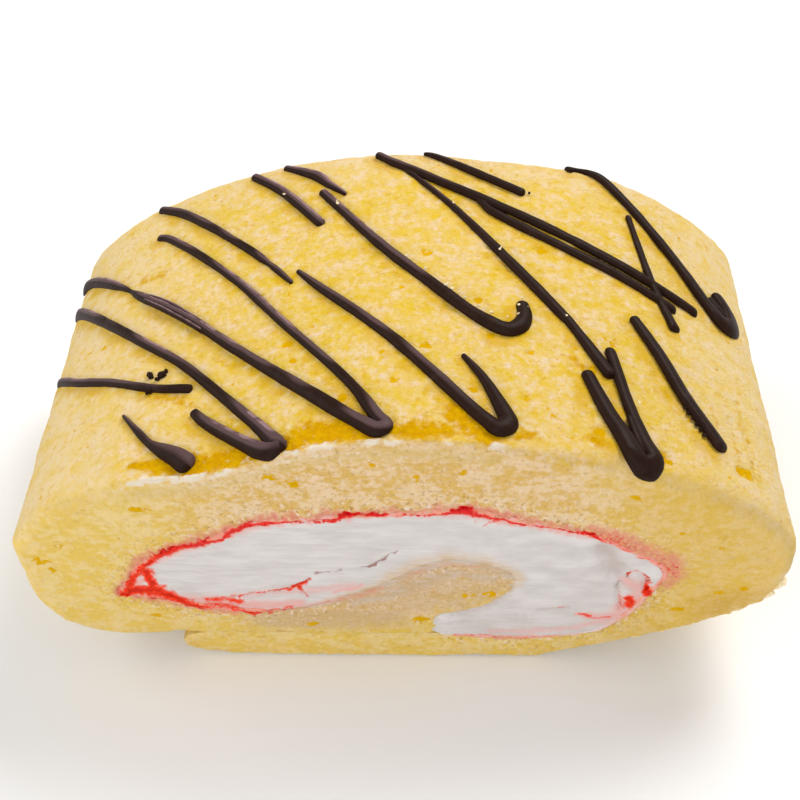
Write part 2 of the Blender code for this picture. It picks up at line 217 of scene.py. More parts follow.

# Specks of chocolate beside the strokes, (x, y)
CHOCOLATE_SPECKS = (
    (-35.8, -11.3), (-35.5, -11.7), (-35.3, -12.0), (-34.3, -12.7), (-33.9, -12.2), (-33.5, -11.7),
    (-33.2, -11.4), (-33.3, -12.2), (-35.5, -15.1), (-35.1, -14.9), (39.0, -17.6), (39.3, -18.4),
    (39.9, -19.2), (40.3, -20.1), (40.8, -20.8), (41.2, -21.6), (19.3, 22.3), (31.6, -29.8),
)
# Pale crumbs on the chocolate, thickest where the end of one stroke is sugared
PALE_SPECKS = (
    (-10.2, 18.3), (-10.4, 18.9), (-19.0, 22.9), (14.2, 7.0), (14.4, 7.4), (23.2, -5.8), (32.2, -19.8),
    (-28.3, -28.4), (-16.9, -29.4), (7.5, 17.6), (0.6, 4.6), (1.4, 3.8), (2.2, 3.0), (3.4, 1.7),
    (6.3, -1.9), (7.2, -2.6), (8.1, -3.3), (9.0, -4.4), (10.8, -5.9), (12.6, -7.0), (14.8, -7.6),
    (16.4, -6.8), (17.6, -7.4), (17.0, -5.9), (17.7, -5.2), (16.6, -4.9), (17.2, -4.2), (17.0, -3.4),
)

# Round golden pits in the skin, (x, y, radius)
SKIN_PITS = (
    (3.5, 6.5, 1.3), (20.5, 9.0, 1.2), (11.0, -4.0, 1.1), (12.5, -11.0, 0.9), (3.5, -13.5, 1.2),
    (18.0, -13.0, 0.9), (10.0, -21.0, 1.2), (-0.5, -20.0, 1.1), (35.0, -28.0, 1.5), (47.0, -25.0, 1.6),
    (26.0, -15.0, 1.3), (30.0, -8.5, 1.2), (-7.0, -23.0, 1.0), (-15.5, -10.5, 1.2), (-14.5, -14.0, 0.9),
    (17.0, -22.0, 1.0), (26.5, -26.0, 1.2), (20.5, -24.5, 0.9),
)
# Deep golden patches of the skin: strength, and (x, y, half width) along each
GOLD_PATCHES = (
    (1.0, ((-36.0, -28.0, 0.5), (-33.0, -28.6, 0.9), (-29.0, -29.2, 1.5), (-24.0, -29.2, 1.9),
           (-19.5, -29.4, 1.7), (-17.4, -30.2, 1.2))),
    (1.0, ((-14.6, -29.6, 1.4), (-12.0, -28.8, 2.2), (-8.5, -28.8, 2.3), (-5.0, -28.6, 2.2),
           (-3.0, -30.0, 1.3))),
    (0.95, ((0.2, -29.2, 1.4), (3.2, -28.8, 1.7), (6.2, -29.2, 1.3))),
    (0.95, ((7.4, -25.8, 1.6), (9.6, -27.8, 1.9), (12.0, -29.8, 1.5))),
    (0.7, ((15.8, -28.6, 0.9), (17.8, -28.2, 0.9))),
    (0.7, ((25.0, -27.4, 0.9), (26.8, -28.0, 0.9))),
    (0.5, ((23.5, -13.5, 0.9), (24.5, -15.0, 0.9))),
    (0.5, ((-41.0, 12.0, 1.0), (-37.5, 11.5, 0.8))),
    (0.45, ((-36.0, -14.5, 1.1), (-31.0, -17.0, 1.0), (-28.5, -19.0, 0.8))),
    (0.4, ((48.2, -11.0, 0.4), (48.6, -17.0, 0.5), (48.7, -25.0, 0.7))),
    (0.35, ((46.2, -12.0, 0.3), (46.5, -19.4, 0.4), (46.4, -25.0, 0.5))),
)
# Shallow creases in the skin: depth, and (x, y, half width) along each
CREASES = (
    (0.8, ((46.0, -6.0, 0.3), (46.3, -14.0, 0.4), (46.2, -24.0, 0.5), (46.8, -29.0, 0.4))),
    (0.7, ((48.2, -9.0, 0.3), (48.6, -17.0, 0.4), (48.7, -25.0, 0.5), (49.0, -29.0, 0.4))),
    (0.5, ((44.0, -18.0, 0.3), (44.2, -26.0, 0.4))),
)
# Golden flecks in the front cut face, (x, z, half width, half height)
CUT_FLECKS = (
    (-51.0, 23.0, 1.2, 1.0), (-49.5, 21.0, 0.8, 0.7), (-34.7, 34.7, 1.8, 0.6), (-47.5, 26.5, 0.8, 0.7),
    (-36.5, 10.2, 0.9, 0.4), (-16.5, 41.5, 1.2, 0.7), (-14.0, 40.2, 1.3, 0.6), (-3.0, 44.0, 1.1, 0.5),
    (2.5, 41.5, 0.6, 0.9), (8.5, 42.0, 0.6, 0.6), (31.0, 37.5, 1.2, 0.6), (45.0, 16.5, 1.0, 0.6),
    (48.5, 17.5, 0.8, 0.7), (40.0, 12.5, 1.4, 0.5), (9.7, 15.6, 1.1, 0.7), (12.7, 15.9, 1.1, 0.7),
    (2.9, 9.4, 1.6, 1.0), (-2.4, 6.6, 1.6, 0.5), (21.0, 44.0, 0.9, 0.4), (38.0, 30.0, 0.8, 0.4),
    (8.7, 19.6, 0.9, 0.4), (-13.5, 8.2, 1.0, 0.6), (-39.0, 28.4, 0.5, 0.4), (44.0, 27.0, 0.7, 0.4),
)
# Red jam smeared on the cut face: strength, and (x, z, half width) along each smear
RED_SMEARS = (
    (1.0, ((-40.4, 15.3, 0.6), (-39.0, 18.2, 0.7), (-37.3, 21.1, 0.6), (-34.6, 23.9, 0.7),
           (-32.7, 25.3, 0.7), (-30.8, 26.4, 0.5), (-29.3, 26.9, 0.6), (-27.9, 27.3, 0.9),
           (-26.4, 28.0, 0.7), (-24.7, 28.3, 0.4), (-22.3, 30.5, 0.7), (-20.7, 31.6, 0.5),
           (-18.8, 31.8, 0.32), (-14.4, 32.3, 0.3), (-9.0, 32.6, 0.32), (-7.6, 33.5, 0.5),
           (-6.2, 33.8, 0.45), (-2.5, 33.8, 0.3), (4.3, 33.9, 0.3), (7.6, 34.7, 0.45),
           (8.8, 35.0, 0.8), (10.6, 34.0, 0.55), (12.1, 33.3, 0.42), (15.4, 32.3, 0.34),
           (19.0, 31.4, 0.28), (23.5, 30.3, 0.28), (26.0, 30.0, 0.45), (26.8, 29.2, 0.4),
           (28.0, 28.0, 0.3))),
    (1.1, ((-36.2, 16.8, 0.9), (-36.0, 18.6, 0.9), (-36.3, 20.6, 1.1))),
    (1.1, ((-40.4, 15.8, 0.9), (-38.2, 16.4, 1.3), (-36.0, 16.5, 1.6), (-34.2, 15.7, 1.4),
           (-32.4, 14.2, 0.8), (-31.0, 13.0, 0.6), (-29.4, 12.4, 0.6))),
    (0.75, ((-29.4, 12.3, 0.6), (-27.7, 12.6, 0.7), (-25.9, 12.9, 0.7), (-24.0, 12.1, 0.6),
            (-22.5, 11.3, 0.6), (-20.9, 11.2, 0.5))),
    (0.4, ((-20.9, 11.2, 0.5), (-18.6, 11.8, 0.5), (-16.0, 12.6, 0.4))),
    (0.7, ((-28.2, 14.0, 0.5), (-26.9, 14.2, 0.8), (-25.2, 14.3, 1.0), (-23.6, 13.8, 0.8))),
    (0.5, ((-26.2, 15.2, 0.3), (-24.0, 15.4, 0.3), (-22.4, 15.7, 0.25))),
    (0.6, ((-33.4, 15.0, 0.5), (-31.8, 14.6, 0.4), (-30.2, 13.8, 0.4))),
    (0.85, ((-23.8, 15.0, 0.3), (-21.6, 15.8, 0.22), (-18.4, 16.3, 0.18), (-16.0, 16.9, 0.25),
            (-14.8, 17.7, 0.35), (-13.0, 19.2, 0.28))),
    (0.7, ((-14.8, 17.4, 0.22), (-14.3, 16.3, 0.22), (-13.7, 14.9, 0.16))),
    (0.5, ((10.2, 32.6, 0.2), (11.4, 31.6, 0.2), (12.9, 32.6, 0.2))),
    (0.5, ((28.5, 29.6, 0.4), (30.4, 28.6, 0.5), (31.4, 26.8, 0.3))),
    (0.45, ((32.8, 24.9, 0.25), (35.2, 24.0, 0.3), (37.1, 22.4, 0.3), (37.8, 20.8, 0.25))),
    (0.35, ((34.4, 25.6, 0.2), (36.4, 24.8, 0.25), (38.4, 22.9, 0.2))),
    (0.45, ((31.9, 20.4, 0.3), (32.6, 21.2, 0.2), (33.6, 21.2, 0.22))),
    (0.75, ((33.8, 21.1, 0.2), (34.8, 20.2, 0.25), (35.1, 18.8, 0.28), (34.9, 17.6, 0.4))),
    (1.2, ((35.0, 17.4, 0.5), (35.2, 16.4, 0.6))),
    (0.4, ((30.7, 17.8, 0.3), (31.0, 16.4, 0.3), (31.3, 14.6, 0.5), (31.9, 12.6, 0.6))),
    (1.15, ((32.5, 15.3, 0.6), (32.9, 14.4, 0.9), (32.8, 13.5, 0.8))),
    (0.5, ((27.6, 29.0, 0.9), (30.0, 27.8, 1.0), (31.6, 26.4, 0.7))),
    (0.2, ((36.4, 24.4, 0.6), (38.2, 22.6, 0.7), (38.6, 20.4, 0.7))),
    (0.5, ((20.5, 12.3, 0.12), (22.0, 12.6, 0.16), (23.7, 12.8, 0.12))),
    (0.6, ((26.0, 11.4, 0.3), (27.4, 10.8, 0.3), (29.0, 10.3, 0.35), (30.6, 10.4, 0.4))),
)
# Pink washes of jam, in the same form
PINK_SMEARS = (
    (0.75, ((-40.5, 15.8, 1.2), (-38.6, 19.5, 1.2), (-35.5, 23.4, 1.3), (-29.5, 26.7, 1.2),
            (-22.3, 30.3, 1.2), (-18.0, 31.6, 0.8), (0.0, 33.6, 0.6), (8.8, 34.6, 1.4),
            (15.4, 31.9, 0.7), (26.0, 29.4, 0.9))),
    (0.8, ((-38.0, 16.0, 1.6), (-33.0, 14.4, 1.8), (-27.0, 13.6, 1.7), (-23.0, 13.0, 1.5),
           (-19.0, 13.0, 1.2), (-14.9, 13.6, 1.0))),
    (0.65, ((-9.8, 16.4, 0.5), (-7.6, 17.2, 0.7), (-5.6, 18.0, 0.4))),
    (0.45, ((-24.0, 15.4, 0.9), (-16.0, 16.4, 1.1), (-12.5, 16.6, 1.3), (-7.0, 18.2, 1.0))),
    (0.5, ((-16.0, 12.4, 0.6), (-9.0, 14.4, 0.8), (-3.0, 17.0, 0.7))),
    (0.35, ((1.0, 20.4, 0.7), (6.0, 22.8, 0.6), (11.0, 22.4, 0.5))),
    (0.8, ((26.2, 30.8, 1.0), (29.6, 29.4, 1.5), (32.6, 27.2, 1.4), (35.6, 25.4, 1.6),
           (37.8, 23.4, 1.7), (38.4, 20.8, 1.6), (37.6, 18.4, 1.0))),
    (0.6, ((31.4, 19.4, 0.8), (33.0, 18.6, 1.6), (34.0, 17.0, 1.4), (33.2, 15.6, 1.6))),
    (0.9, ((33.6, 15.6, 1.2), (33.0, 13.4, 1.5), (31.6, 12.6, 1.3))),
    (0.8, ((-38.2, 17.6, 0.9), (-37.6, 18.6, 0.6))),
    (0.75, ((25.6, 11.4, 0.5), (28.2, 10.6, 1.2), (30.8, 10.9, 1.4), (32.0, 12.4, 1.3))),
    (0.5, ((13.0, 6.9, 0.7), (20.0, 6.8, 0.9), (27.0, 8.6, 1.0), (30.0, 9.6, 1.2))),
)
# Where the knife has wiped cream and crumb over each other along the tongue
WIPED_SMEARS = (
    (0.8, ((-18.4, 11.8, 0.5), (-13.6, 12.7, 0.8), (-8.9, 14.9, 1.1), (-4.5, 16.9, 1.5),
           (-0.4, 19.8, 2.0), (2.7, 22.2, 2.2), (4.8, 23.4, 2.1), (7.0, 23.9, 2.1),
           (11.1, 23.2, 2.0), (15.0, 21.2, 1.7), (16.6, 19.4, 1.3), (15.4, 16.6, 0.6),
           (12.2, 13.4, 0.5), (9.4, 12.0, 0.4))),
    (0.7, ((-7.0, 13.6, 1.2), (-2.0, 15.8, 1.6), (1.0, 17.6, 2.0), (7.0, 20.4, 1.4), (13.0, 19.6, 1.0))),
)
# Border of the tongue where crumb and cream are level, in the same form
TONGUE_BORDER = (
    (1.0, ((-18.0, 12.0, 0.8), (-13.6, 12.8, 1.5), (-8.9, 15.1, 1.9), (-4.5, 17.1, 1.9),
           (-0.4, 20.0, 1.9), (2.7, 22.4, 1.9), (4.8, 23.5, 1.9), (7.0, 24.0, 1.9),
           (11.1, 23.3, 1.9), (15.0, 21.3, 1.7), (16.3, 19.4, 1.4))),
)
# Fine dark cracks in the cream, in the same form
CREAM_CRACKS = (
    (0.75, ((-12.2, 20.6, 0.25), (-11.1, 21.1, 0.25), (-10.0, 21.1, 0.22))),
    (0.65, ((-9.6, 21.2, 0.22), (-8.4, 21.5, 0.25))),
    (1.0, ((-5.4, 21.8, 0.22), (-4.6, 22.1, 0.28), (-3.6, 22.8, 0.3), (-2.5, 24.2, 0.25))),
    (0.7, ((-2.5, 24.2, 0.25), (-1.4, 25.1, 0.22), (-0.3, 25.8, 0.2))),
    (0.8, ((-21.6, 15.8, 0.2), (-18.4, 16.3, 0.2), (-16.0, 16.9, 0.25), (-14.8, 17.7, 0.25),
           (-13.0, 19.2, 0.25))),
    (0.8, ((-14.8, 17.4, 0.22), (-14.3, 16.3, 0.22), (-13.7, 14.9, 0.2))),
    (0.7, ((30.9, 19.2, 0.2), (30.7, 17.6, 0.25), (30.9, 16.2, 0.2))),
    (0.9, ((34.4, 20.8, 0.25), (35.0, 19.6, 0.25), (35.0, 18.4, 0.2))),
    (0.8, ((31.8, 20.4, 0.25), (32.2, 20.9, 0.2))),
    (0.5, ((20.5, 12.3, 0.2), (22.0, 12.6, 0.25), (23.7, 12.8, 0.2))),
)
# Painted shade on the cream: greyer in its hollows, and faintly over its lower right
CREAM_PAINTED_SHADES = (
    (0.9, ((27.4, 27.0, 1.0), (29.0, 25.0, 1.5), (30.0, 22.8, 1.5), (30.6, 20.6, 0.8))),
    (0.6, ((15.8, 16.4, 0.7), (12.6, 13.0, 0.9), (8.0, 11.2, 0.8))),
    (0.5, ((20.0, 12.2, 0.5), (24.0, 12.8, 0.4))),
    (0.4, ((14.0, 8.2, 0.6), (22.0, 7.6, 0.7))),
    (0.2, ((10.0, 9.5, 3.0), (18.0, 10.0, 3.5), (26.0, 12.0, 4.0), (29.0, 20.0, 4.0))),
    (0.8, ((31.6, 20.4, 0.5), (32.6, 19.0, 1.0), (33.6, 17.6, 1.1))),
    (0.7, ((30.9, 18.8, 0.25), (30.8, 17.0, 0.3))),
)
# Relief of the cream on the cut face: height, and (x, z, half width) along each ridge or groove
CREAM_RELIEF = (
    (-0.35, ((-24.0, 15.0, 0.3), (-18.4, 16.3, 0.25), (-14.8, 17.7, 0.35), (-13.0, 19.2, 0.3))),
    (-0.25, ((-14.8, 17.4, 0.25), (-13.7, 14.9, 0.2))),
    (-0.2, ((-12.3, 20.6, 0.25), (-8.1, 21.6, 0.2))),
    (-0.25, ((-5.4, 21.8, 0.25), (-3.6, 22.8, 0.3), (-2.5, 24.2, 0.25), (-0.3, 25.8, 0.2))),
    (-0.9, ((28.4, 25.4, 1.6), (29.3, 23.4, 1.6), (30.2, 21.0, 1.2))),
    (0.45, ((29.8, 24.6, 0.6), (32.0, 23.5, 0.9), (34.0, 22.4, 0.9), (35.8, 20.6, 0.6))),
    (-0.6, ((31.9, 20.6, 0.35), (33.2, 21.4, 0.35), (34.6, 19.6, 0.4), (35.2, 16.8, 0.4))),
    (-0.6, ((30.9, 19.2, 0.3), (30.9, 17.4, 0.4), (31.8, 12.6, 0.4))),
    (0.35, ((33.0, 19.2, 0.9), (33.1, 17.6, 0.9))),
    (-0.3, ((20.0, 12.2, 0.3), (24.0, 12.8, 0.3))),
    (-0.5, ((15.5, 17.0, 0.8), (12.0, 12.8, 0.9), (7.5, 10.8, 0.8))),
    (0.35, ((6.5, 9.4, 0.7), (14.0, 10.2, 1.0), (24.0, 9.2, 1.0))),
    (0.4, ((-33.8, 16.6, 0.7), (-33.0, 16.2, 0.9), (-31.0, 15.4, 0.9), (-29.4, 15.2, 0.6))),
)

# Surfaces, pits and loose crumbs
SMEAR_REACH = 2.2           # how far a smear fades out, over its half width
FAR_FROM_CREAM = 9.0        # distance that stands for no cream near by
LIP_X = (-40.0, 18.0)       # the sharp stretch of the front top edge
HANGING_X = 33.0            # loose crumbs hang to the right of this
HANGING_Z = 19.0            # and below this
SKIN_SUNK = 0.25            # how far the skin lies inside the plain outline, on average
SKIN_HIGHEST = 0.3          # most that its bumps stand out
CUT_SUNK = 0.22             # how far a cut face lies behind the flat cut, on average
PIT_RADII = (0.25, 0.6)     # least and most, as in the next three
SPECK_RADII = (0.22, 0.4)
SUGAR_RADII = (0.1, 0.24)
HANGING_RADII = (0.25, 0.6)

# Mesh fineness
SHEET_STEP = 0.46           # along the sheet
SKIN_STEP = 0.5             # along the roll
CUT_COLUMNS = 28            # from skin to cream
CREAM_STEP = 0.3
CREAM_COLUMNS = 60          # from the top of the cream to the tongue
JAM_COLUMNS = 10            # across the line of jam
NOISE_CELLS = 64            # along each axis, before the lattice repeats
SMALL_PITS = 160            # in the skin
CUT_PORES = 350             # in each cut face
HANGING_CRUMBS = 150        # at the lower right of the front cut face
SHARP_ANGLE = math.radians(55)      # edges that turn more than this are not smoothed over

# Camera: a pinhole fitted to the outline of the cake
CAMERA_PLACE = (5.85, -139.91, 166.83)
CAMERA_PITCH = 45.58        # below the horizon
CAMERA_YAW = -2.72
CAMERA_ROLL = -1.89
FOCAL_SHARE = 1.5975        # focal length over the picture's width

# Soft lights: name, place, what it faces, side, power and colour
LIGHTS = (
    ("key", (260, 330, 520), (0, 0, 25), 320, 3.15, (1.0, 0.985, 0.96)),
    ("fill", (-150, -520, 380), (0, 0, 20), 500, 2.0, (0.98, 0.99, 1.0)),
    ("side", (-480, 60, 260), (0, 0, 25), 300, 0.75, (1.0, 1.0, 1.0)),
)
WORLD_STRENGTH = 0.38
FLOOR_SIDE = 1800.0


def spline(points, steps):
    """Pass a smooth curve through the points, with a number of steps between each two."""
    rows = np.array(points, dtype=float)
    ends = np.vstack([2 * rows[0] - rows[1], rows, 2 * rows[-1] - rows[-2]])
    t = (np.arange(steps) / steps)[:, None]
    curve = []
    for index in range(1, len(ends) - 2):
        before, start, end, after = ends[index - 1:index + 3]
        curve.append(0.5 * (2 * start + (end - before) * t
                            + (2 * before - 5 * start + 4 * end - after) * t ** 2
                            + (3 * start - before - 3 * end + after) * t ** 3))
    return np.vstack(curve + [rows[-1:]])


def resample(rows, reach, at):
    """Read every column of a table at new places along it."""
    return np.stack([np.interp(at, reach, column) for column in rows.T], axis=1)


def run_length(curve):
    """Distance along a curve at each of its points."""
    return np.concatenate([[0.0], np.cumsum(np.linalg.norm(np.diff(curve, axis=0), axis=1))])


def smoothstep(value):
    """Rise smoothly from 0 to 1 as the value does."""
    value = np.clip(value, 0.0, 1.0)
    return value * value * (3.0 - 2.0 * value)


def rise(value, start, end):
    """Go smoothly from 0 at one value to 1 at another, which may be lower."""
    return smoothstep((value - start) / (end - start))


def window(value, low, high, blend):
    """1 between two values and 0 outside them, with soft ends."""
    return rise(value, low, low + blend) * rise(value, high, high - blend)


def lattice_noise(points, size, seed):
    """Smooth random values from -1 to 1, with features of a size (or a size along each axis)."""
    table = np.random.default_rng(seed).uniform(-1.0, 1.0, (NOISE_CELLS,) * 3)
    at = np.asarray(points) / size
    cell = np.floor(at).astype(int)
    part = at - cell
    part = part * part * (3.0 - 2.0 * part)
    value = np.zeros(len(at))
    for corner in np.ndindex(2, 2, 2):
        weight = np.where(corner, part, 1.0 - part).prod(axis=1)
        index = (cell + corner) % NOISE_CELLS
        value += weight * table[index[:, 0], index[:, 1], index[:, 2]]
    return value


def layered_noise(points, *layers):
    """Sum of lattice noises, each given by its weight, size and seed."""
    return sum(weight * lattice_noise(points, size, seed) for weight, size, seed in layers)


def rounded(angle, centre, reach, power):
    """Points on one quarter of a superellipse, at angles in degrees."""
    across = np.cos(np.radians(angle))
    up = np.sin(np.radians(angle))
    x = centre[0] + reach[0] * np.sign(across) * np.abs(across) ** (2 / power)
    z = centre[1] + reach[1] * np.sign(up) * np.abs(up) ** (2 / power)
    return np.stack([x, z], axis=1)


def skin_points(angle):
    """Points of the roll's outline at angles from the right, over the top."""
    half = WIDTH / 2
    left_top = rounded(angle, (0.0, WIDEST_Z), (half, HEIGHT - WIDEST_Z), TOP_POWER_LEFT)
    right_top = rounded(angle, (0.0, WIDEST_Z), (half, HEIGHT - WIDEST_Z), TOP_POWER_RIGHT)
    left_reach = (half + LEFT_FOLD_X, WIDEST_Z - LEFT_FOLD_Z)
    left = rounded(angle, (LEFT_FOLD_X, WIDEST_Z), left_reach, LEFT_POWER)
    right = rounded(angle, (RIGHT_FOOT_X, WIDEST_Z), (half - RIGHT_FOOT_X, WIDEST_Z), RIGHT_POWER)
    below = (WIDEST_Z - right[:, 1]) / WIDEST_Z
    right[:, 1] += RIGHT_SLOPE * (right[:, 0] - RIGHT_FOOT_X) * below ** 2
    parts = [angle > 180, angle > 90, angle >= 0]
    return np.select([part[:, None] for part in parts], [left, left_top, right_top], default=right)


def left_normals(curve):
    """Unit normals to the left of the direction in which a curve runs."""
    run = np.gradient(curve, axis=0)
    normals = np.stack([-run[:, 1], run[:, 0]], axis=1)
    return normals / np.linalg.norm(normals, axis=1)[:, None]


def lift(x, y):
    """How far the skin on top stands off the plain outline at each place."""
    front_share = 0.5 - y / LENGTH
    spread = np.where(x > SAG_X, SAG_SPREADS[1], SAG_SPREADS[0])
    sag = SAG_DEPTH * np.exp(-((x - SAG_X) / spread) ** 2) * front_share ** 2
    swell = SWELL_HEIGHT * np.exp(-((x - SWELL_X) / SWELL_SPREAD) ** 2) * (1.0 - front_share)
    dips = DIP_DEPTH * np.sin(x / DIP_LENGTH_X) * np.cos(y / DIP_LENGTH_Y + x / WIDTH)
    return dips + swell - sag


def top_height(x, y):
    """Height of the skin on top at places seen from above."""
    power = np.where(x > 0, TOP_POWER_RIGHT, TOP_POWER_LEFT)
    share = np.minimum(np.abs(x) * 2 / WIDTH, 1.0) ** power
    dome = (HEIGHT - WIDEST_Z) * (1.0 - share) ** (1.0 / power)
    return WIDEST_Z + dome + lift(x, y) * dome / (HEIGHT - WIDEST_Z)


def warped(points, seed, axes):
    """Places seen along one axis, shifted about so that what is painted there has ragged edges."""
    shift = [layered_noise(points, (0.25, 0.7, seed + axis), (0.25, 2.0, seed + 4 + axis))
             for axis in axes]
    return points[:, axes[0]] + shift[0], points[:, axes[1]] + shift[1]


def along_lines(points, lines, seed, axes):
    """Each of some soft lines painted on points, with its own strength."""
    first, second = warped(points, seed, axes)
    for strength, line in lines:
        field = np.zeros(len(points))
        for start, end, half in spline(line, 8):
            near = np.maximum(np.abs(first - start), np.abs(second - end)) < SMEAR_REACH * half
            gap = np.hypot(first[near] - start, second[near] - end) / half
            field[near] = np.maximum(field[near], np.exp(-gap ** 2))
        yield strength * field


def painted(points, smears, seed, axes=(0, 2)):
    """Strength from 0 to 1 of smears painted on the cut face, or on the skin seen from above."""
    return np.max(list(along_lines(points, smears, seed, axes)), axis=0)


def raised(points, ridges, seed):
    """Height of ridges and grooves on the cut face."""
    return np.sum(list(along_lines(points, ridges, seed, (0, 2))), axis=0)


class Sheet:
    """The rolled sheet in section, with a station every few tenths of a millimetre."""

    def __init__(self, step):
        tongue = spline(TONGUE, 24)
        wall = spline(WALL, 24)
        tail = np.array(TAIL)
        wall = np.hstack([skin_points(wall[:, 0]), wall[:, 1:]])
        rows = np.vstack([tongue, wall, tail])
        # The stations are evenly spaced along a line between the skin and the cream side
        reach = 0.6 * run_length(rows[:, :2]) + 0.4 * run_length(rows[:, 2:4])
        at = np.linspace(0.0, reach[-1], int(reach[-1] / step))
        rows = resample(rows, reach, at)
        self.skin = rows[:, :2]
        self.inner = rows[:, 2:4]
        self.jam = np.where(rows[:, 4] < JAM_EDGE, 0.0, rows[:, 4])
        self.stain = np.clip(rows[:, 5], 0.0, None)
        self.radius = rows[:, 6]
        self.on_tongue = at < reach[len(tongue) - 1]
        self.on_tail = at > reach[len(tongue) + len(wall) - 1]
        self.on_wall = ~(self.on_tongue | self.on_tail)
        away = self.inner - self.skin
        self.away = away / np.linalg.norm(away, axis=1)[:, None]
        self.away[self.on_tongue] = -left_normals(self.inner[self.on_tongue])


def lifted(skin, y):
    """Skin points of a section with the sag and dips they have at a place along the roll."""
    weight = np.clip((skin[:, 1] - WIDEST_Z) / (HEIGHT - WIDEST_Z), 0.0, 1.0)
    return skin + np.stack([np.zeros(len(skin)), lift(skin[:, 0], y) * weight], axis=1)


def numbered(grid, start=0):
    """Numbers of the points of a grid, counted on from a start."""
    return start + np.arange(grid.shape[0] * grid.shape[1]).reshape(grid.shape[:2])


def on_cut(flat, side):
    """Places of a section in the front (-1) or the back (1) cut face."""
    return np.stack([flat[:, :, 0], np.full(flat.shape[:2], side * HALF), flat[:, :, 1]], axis=2)


def grid_faces(index):
    """Quads between the neighbours of a grid of point numbers."""
    corners = [index[:-1, :-1], index[1:, :-1], index[1:, 1:], index[:-1, 1:]]
    return np.stack([corner.ravel() for corner in corners], axis=1)


def tube_faces(index):
    """Faces of a closed tube, from the point numbers of its rings."""
    sides = grid_faces(np.hstack([index, index[:, :1]])).tolist()
    return sides + [index[0].tolist(), index[-1].tolist()]


def make_piece(name, points, faces, nodes, material, attributes=None):
    """Make a closed, smooth piece of the cake from points in millimetres."""
    mesh = bpy.data.meshes.new(name)
    mesh.from_pydata((np.asarray(points) * MM).tolist(), [], [list(map(int, face)) for face in faces])
    for key, values in (attributes or {}).items():
        layer = mesh.attributes.new(key, "FLOAT", "POINT")
        layer.data.foreach_set("value", np.asarray(values, dtype=np.float32))
    shape = bmesh.new()
    shape.from_mesh(mesh)
    bmesh.ops.recalc_face_normals(shape, faces=shape.faces)
    shape.to_mesh(mesh)
    shape.free()
    mesh.shade_smooth()
    mesh.set_sharp_from_angle(angle=SHARP_ANGLE)
    mesh.materials.append(material)
    piece = bpy.data.objects.new(name, mesh)
    bpy.context.scene.collection.objects.link(piece)
    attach(piece, "root")
    if nodes:
        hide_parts(*nodes)


# ---------------------------------------------------------------- sponge

def lip_window(points):
    """1 along the sharp stretch of the front top edge, and 0 where the edge is rounded."""
    return window(points[:, 0], *LIP_X, 7.0) * (points[:, 1] < 0) * (points[:, 2] > WIDEST_Z)


def skin_relief(points, near_edge):
    """Bumps of the baked skin at points, outwards, and how deep its pits are."""
    bumps = layered_noise(points, (0.06, 0.9, 11), (0.07, 2.0, 12), (0.18, 6.0, 13))
    lumps = layered_noise(points, (0.4, (2.6, 1.0, 1.2), 14), (0.4, 0.9, 17))
    bumps += near_edge * lip_window(points) * (0.3 + lumps)
    ragged = near_edge * (0.2 + 0.7 * window(points[:, 0], 28.0, 60.0, 5.0) * (points[:, 2] < 20.0))
    bumps += ragged * layered_noise(points, (0.6, 1.6, 15), (0.5, 0.7, 16))
    bumps -= 0.35 * painted(points, CREASES, 36, (0, 1)) * (points[:, 2] > 0.0)
    pits = np.zeros(len(points))
    rng = np.random.default_rng(5)
    small = zip(rng.uniform(-50, 50, SMALL_PITS), rng.uniform(-HALF, HALF, SMALL_PITS),
                rng.uniform(*PIT_RADII, SMALL_PITS))
    for x, y, radius in list(SKIN_PITS) + list(small):
        gap = ((points[:, 0] - x) ** 2 + (points[:, 1] - y) ** 2) / radius ** 2
        close = np.clip(1.0 - gap, 0.0, 1.0) * (points[:, 2] > WIDEST_Z)
        bumps -= 0.25 * radius * close
        pits = np.maximum(pits, close * min(0.6 + 0.5 * radius, 1.0))
    return np.minimum(bumps - SKIN_SUNK, SKIN_HIGHEST), pits


def cut_relief(points, near_edge, to_cream, seed):
    """Pores and drag marks of a cut face at points, outwards, and how deep its pores are."""
    relief = layered_noise(points, (0.05, (2.4, 4.0, 0.6), seed), (0.07, 0.8, seed + 1),
                           (0.14, 6.0, seed + 2))
    relief += 0.2 * near_edge * lattice_noise(points, 1.4, seed + 3)
    torn = np.exp(-(to_cream / 2.6) ** 2)
    torn *= (points[:, 0] > 18.0) | (points[:, 0] < -36.0) | (points[:, 2] > WIDEST_Z)
    relief += 0.36 * torn * lattice_noise(points, (0.6, 0.7, 0.9), seed + 4)
    relief *= 1.0 - painted(points, TONGUE_BORDER, 322)
    rng = np.random.default_rng(seed)
    pits = np.zeros(len(points))
    places = points[rng.integers(0, len(points), CUT_PORES)]
    radii = 0.2 + 0.3 * rng.power(0.5, CUT_PORES)
    for (x, _, z), radius in zip(places, radii):
        close = 1.0 - (((points[:, 0] - x) / 1.3) ** 2 + (points[:, 2] - z) ** 2) / radius ** 2
        pits = np.maximum(pits, np.clip(close, 0.0, 1.0) * radius)
    return np.minimum(relief - CUT_SUNK, 0.0) - 0.5 * pits, np.clip(pits * 2.0, 0.0, 1.0)


def painted_stroke_shade(points):
    """Painted shade: deeper yellow on the lower left side of each stroke, away from the key light."""
    x, y = points[:, 0], points[:, 1]
    painted_shade = np.zeros(len(points))
    for stroke in DRIZZLE:
        for px, py, width in spline(stroke, 12)[::2]:
            gap = np.hypot(x - px + 0.5 * width, y - py + 0.5 * width) / (0.8 * width + 0.5)
            painted_shade = np.maximum(painted_shade, np.exp(-gap ** 2))
    return painted_shade * (0.8 + 0.6 * lattice_noise(points, 2.0, 32))


